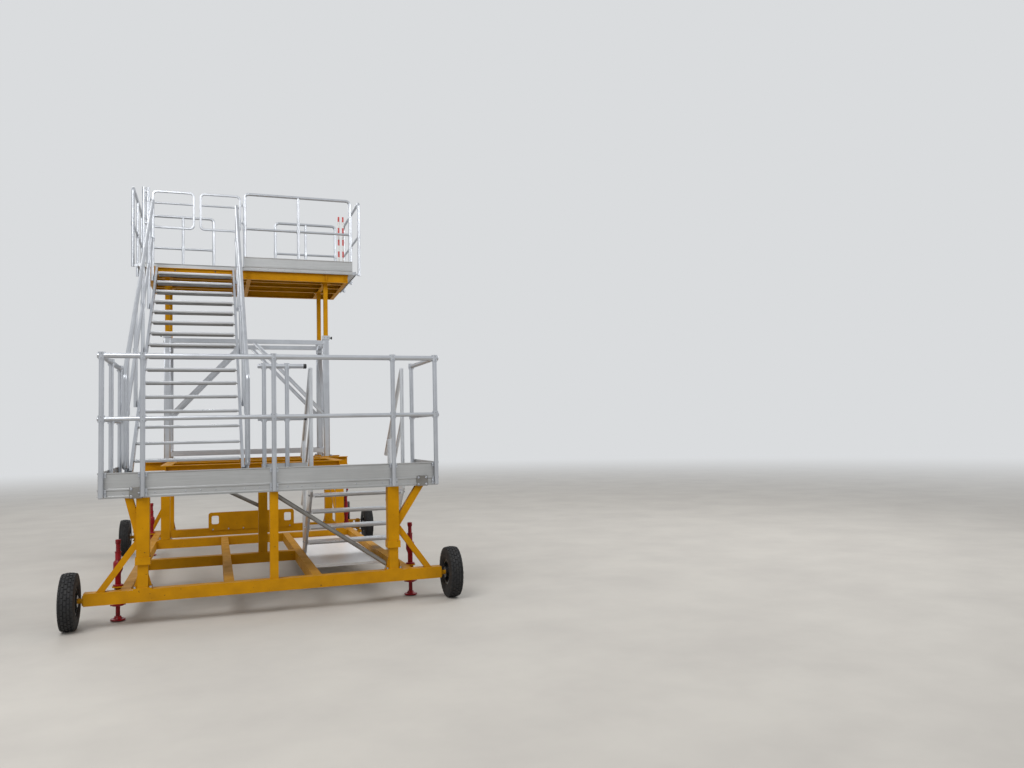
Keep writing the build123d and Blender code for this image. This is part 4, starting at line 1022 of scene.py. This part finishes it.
class PLATFORM_OT_stiffeners(bpy.types.Operator):
    """Makes the plates that stiffen the base beams' webs over the columns and below the tower"""
    bl_idname = "platform.stiffeners"
    bl_label = "Stiffeners"

    def execute(self, context):
        plate = add("cube", "stiffener_pattern", size=1, stretch=(0.054, 0.010, 0.0996))
        pick(plate, "EDGE", lambda middle, run: abs(run.y) > 0.9 and middle.x > 0.02)
        bpy.ops.mesh.bevel(offset=0.014, segments=1, affect="EDGES")
        bpy.ops.object.mode_set(mode="OBJECT")
        round_edges(plate, 0.001)
        places = []
        for y in [row + v for row in tower_rows for v in (-90, 90)]:
            for side in (-1, 1):
                for out in (-1, 1):
                    place = mm(side * column_x + out * 32, y, base_middle)
                    places.append(Matrix.Translation(place) @ Matrix.Scale(out, 4, X))
        piece = copies(plate, "web_stiffeners", places)
        bpy.ops.object.mode_set(mode="EDIT")
        bpy.ops.mesh.select_all(action="SELECT")
        bpy.ops.mesh.normals_make_consistent(inside=False)
        settle(piece, "chassis", yellow_enamel())
        discard(plate)
        return {"FINISHED"}


class PLATFORM_OT_tower_ribs(bpy.types.Operator):
    """Makes the ribs that run along the tower's extruded legs and diagonals"""
    bl_idname = "platform.tower_ribs"
    bl_label = "Tower ribs"

    def execute(self, context):
        rib = add("cube", "rib_pattern", (0, 0, 0.5), size=1, stretch=(0.011, 0.004, 1))
        bpy.ops.object.mode_set(mode="OBJECT")
        round_edges(rib, 0.001)
        front, rear = tower_rows
        # A bar is its two ends, the faces with ribs, how far out and aside a rib stands, and the axis on
        # which it meets a leg
        leg_ribs = ((X, -X, Y, -Y), leg_half + 1, 33.5, None)
        across_ribs = ((Y, -Y), diagonal_half + 1, 18, X)
        along_ribs = ((X, -X), diagonal_half + 1, 18, Y)
        bars = []
        for side in (-1, 1):
            x = side * tower_x
            for y in tower_rows:
                bars.append((mm(x, y, leg_plate_top), mm(x, y, leg_top - clamp_height), *leg_ribs))
                head = mm(side * diagonal_top_x, y, leg_top - 100)
                bars.append((mm(x, y, diagonal_low), head, *across_ribs))
            bars.append((mm(x, front, leg_plate_top + 150), mm(x, rear, leg_top - 160), *along_ribs))
        places = []
        for low, high, faces, reach, aside, into in bars:
            run = (high - low).normalized()
            for out in faces:
                sideways = (-out).cross(run)
                turn = Matrix((sideways, -out, run)).transposed().to_4x4()
                for shift in (-aside, aside):
                    offset = (out * reach + sideways * shift) / 1000
                    start, end = low + offset, high + offset
                    if into is not None:
                        # A diagonal's rib ends in the leg's wall, clear of the inner leg's bore
                        slope = run.dot(into)
                        wall = math.copysign(leg_wall_middle / 1000, slope)
                        start += run * (wall - (start - low).dot(into)) / slope
                        if into == Y:
                            end -= run * (wall + (end - high).dot(into)) / slope
                    stretch = Matrix.Scale((end - start).length, 4, Z)
                    places.append(Matrix.Translation(start) @ turn @ stretch)
        settle(copies(rib, "tower_ribs", places), "chassis", drawn_tube())
        discard(rib)
        return {"FINISHED"}


steps_in_order = (
    PLATFORM_OT_stage, PLATFORM_OT_finishes, PLATFORM_OT_tyres, PLATFORM_OT_hubs, PLATFORM_OT_bolts,
    PLATFORM_OT_rivets, PLATFORM_OT_guard_fittings, PLATFORM_OT_fascia_plates, PLATFORM_OT_welds,
    PLATFORM_OT_stair_nuts, PLATFORM_OT_jacks, PLATFORM_OT_knobs, PLATFORM_OT_pump, PLATFORM_OT_banded_posts,
    PLATFORM_OT_stiffeners, PLATFORM_OT_tower_ribs)


class PLATFORM_PT_sidebar(bpy.types.Panel):
    """Lists the steps that dress the platform, and the sizes and colours that they read"""
    bl_idname = "PLATFORM_PT_sidebar"
    bl_label = "Access platform"
    bl_space_type = "VIEW_3D"
    bl_region_type = "UI"
    bl_category = "Platform"

    def draw(self, context):
        for step in steps_in_order:
            self.layout.operator(step.bl_idname)
        for owner in groups:
            group = getattr(context.scene, owner)
            for name in group.__annotations__:
                self.layout.prop(group, name)


groups = {"platform_wheels": WheelSizes, "platform_fixings": FixingSizes, "platform_paint": PaintColours,
          "platform_studio": StudioSettings}


def register():
    for group in groups.values():
        bpy.utils.register_class(group)
    for step in steps_in_order + (PLATFORM_PT_sidebar,):
        bpy.utils.register_class(step)
    for name, group in groups.items():
        setattr(bpy.types.Scene, name, PointerProperty(type=group))


def unregister():
    for name in groups:
        delattr(bpy.types.Scene, name)
    for step in reversed(steps_in_order + (PLATFORM_PT_sidebar,)):
        bpy.utils.unregister_class(step)
    for group in groups.values():
        bpy.utils.unregister_class(group)


def main():
    """Runs the steps in order."""
    register()
    for step in steps_in_order:
        getattr(bpy.ops.platform, step.bl_idname.split(".")[1])()
    deselect_all()


if __name__ == "__main__":
    main()
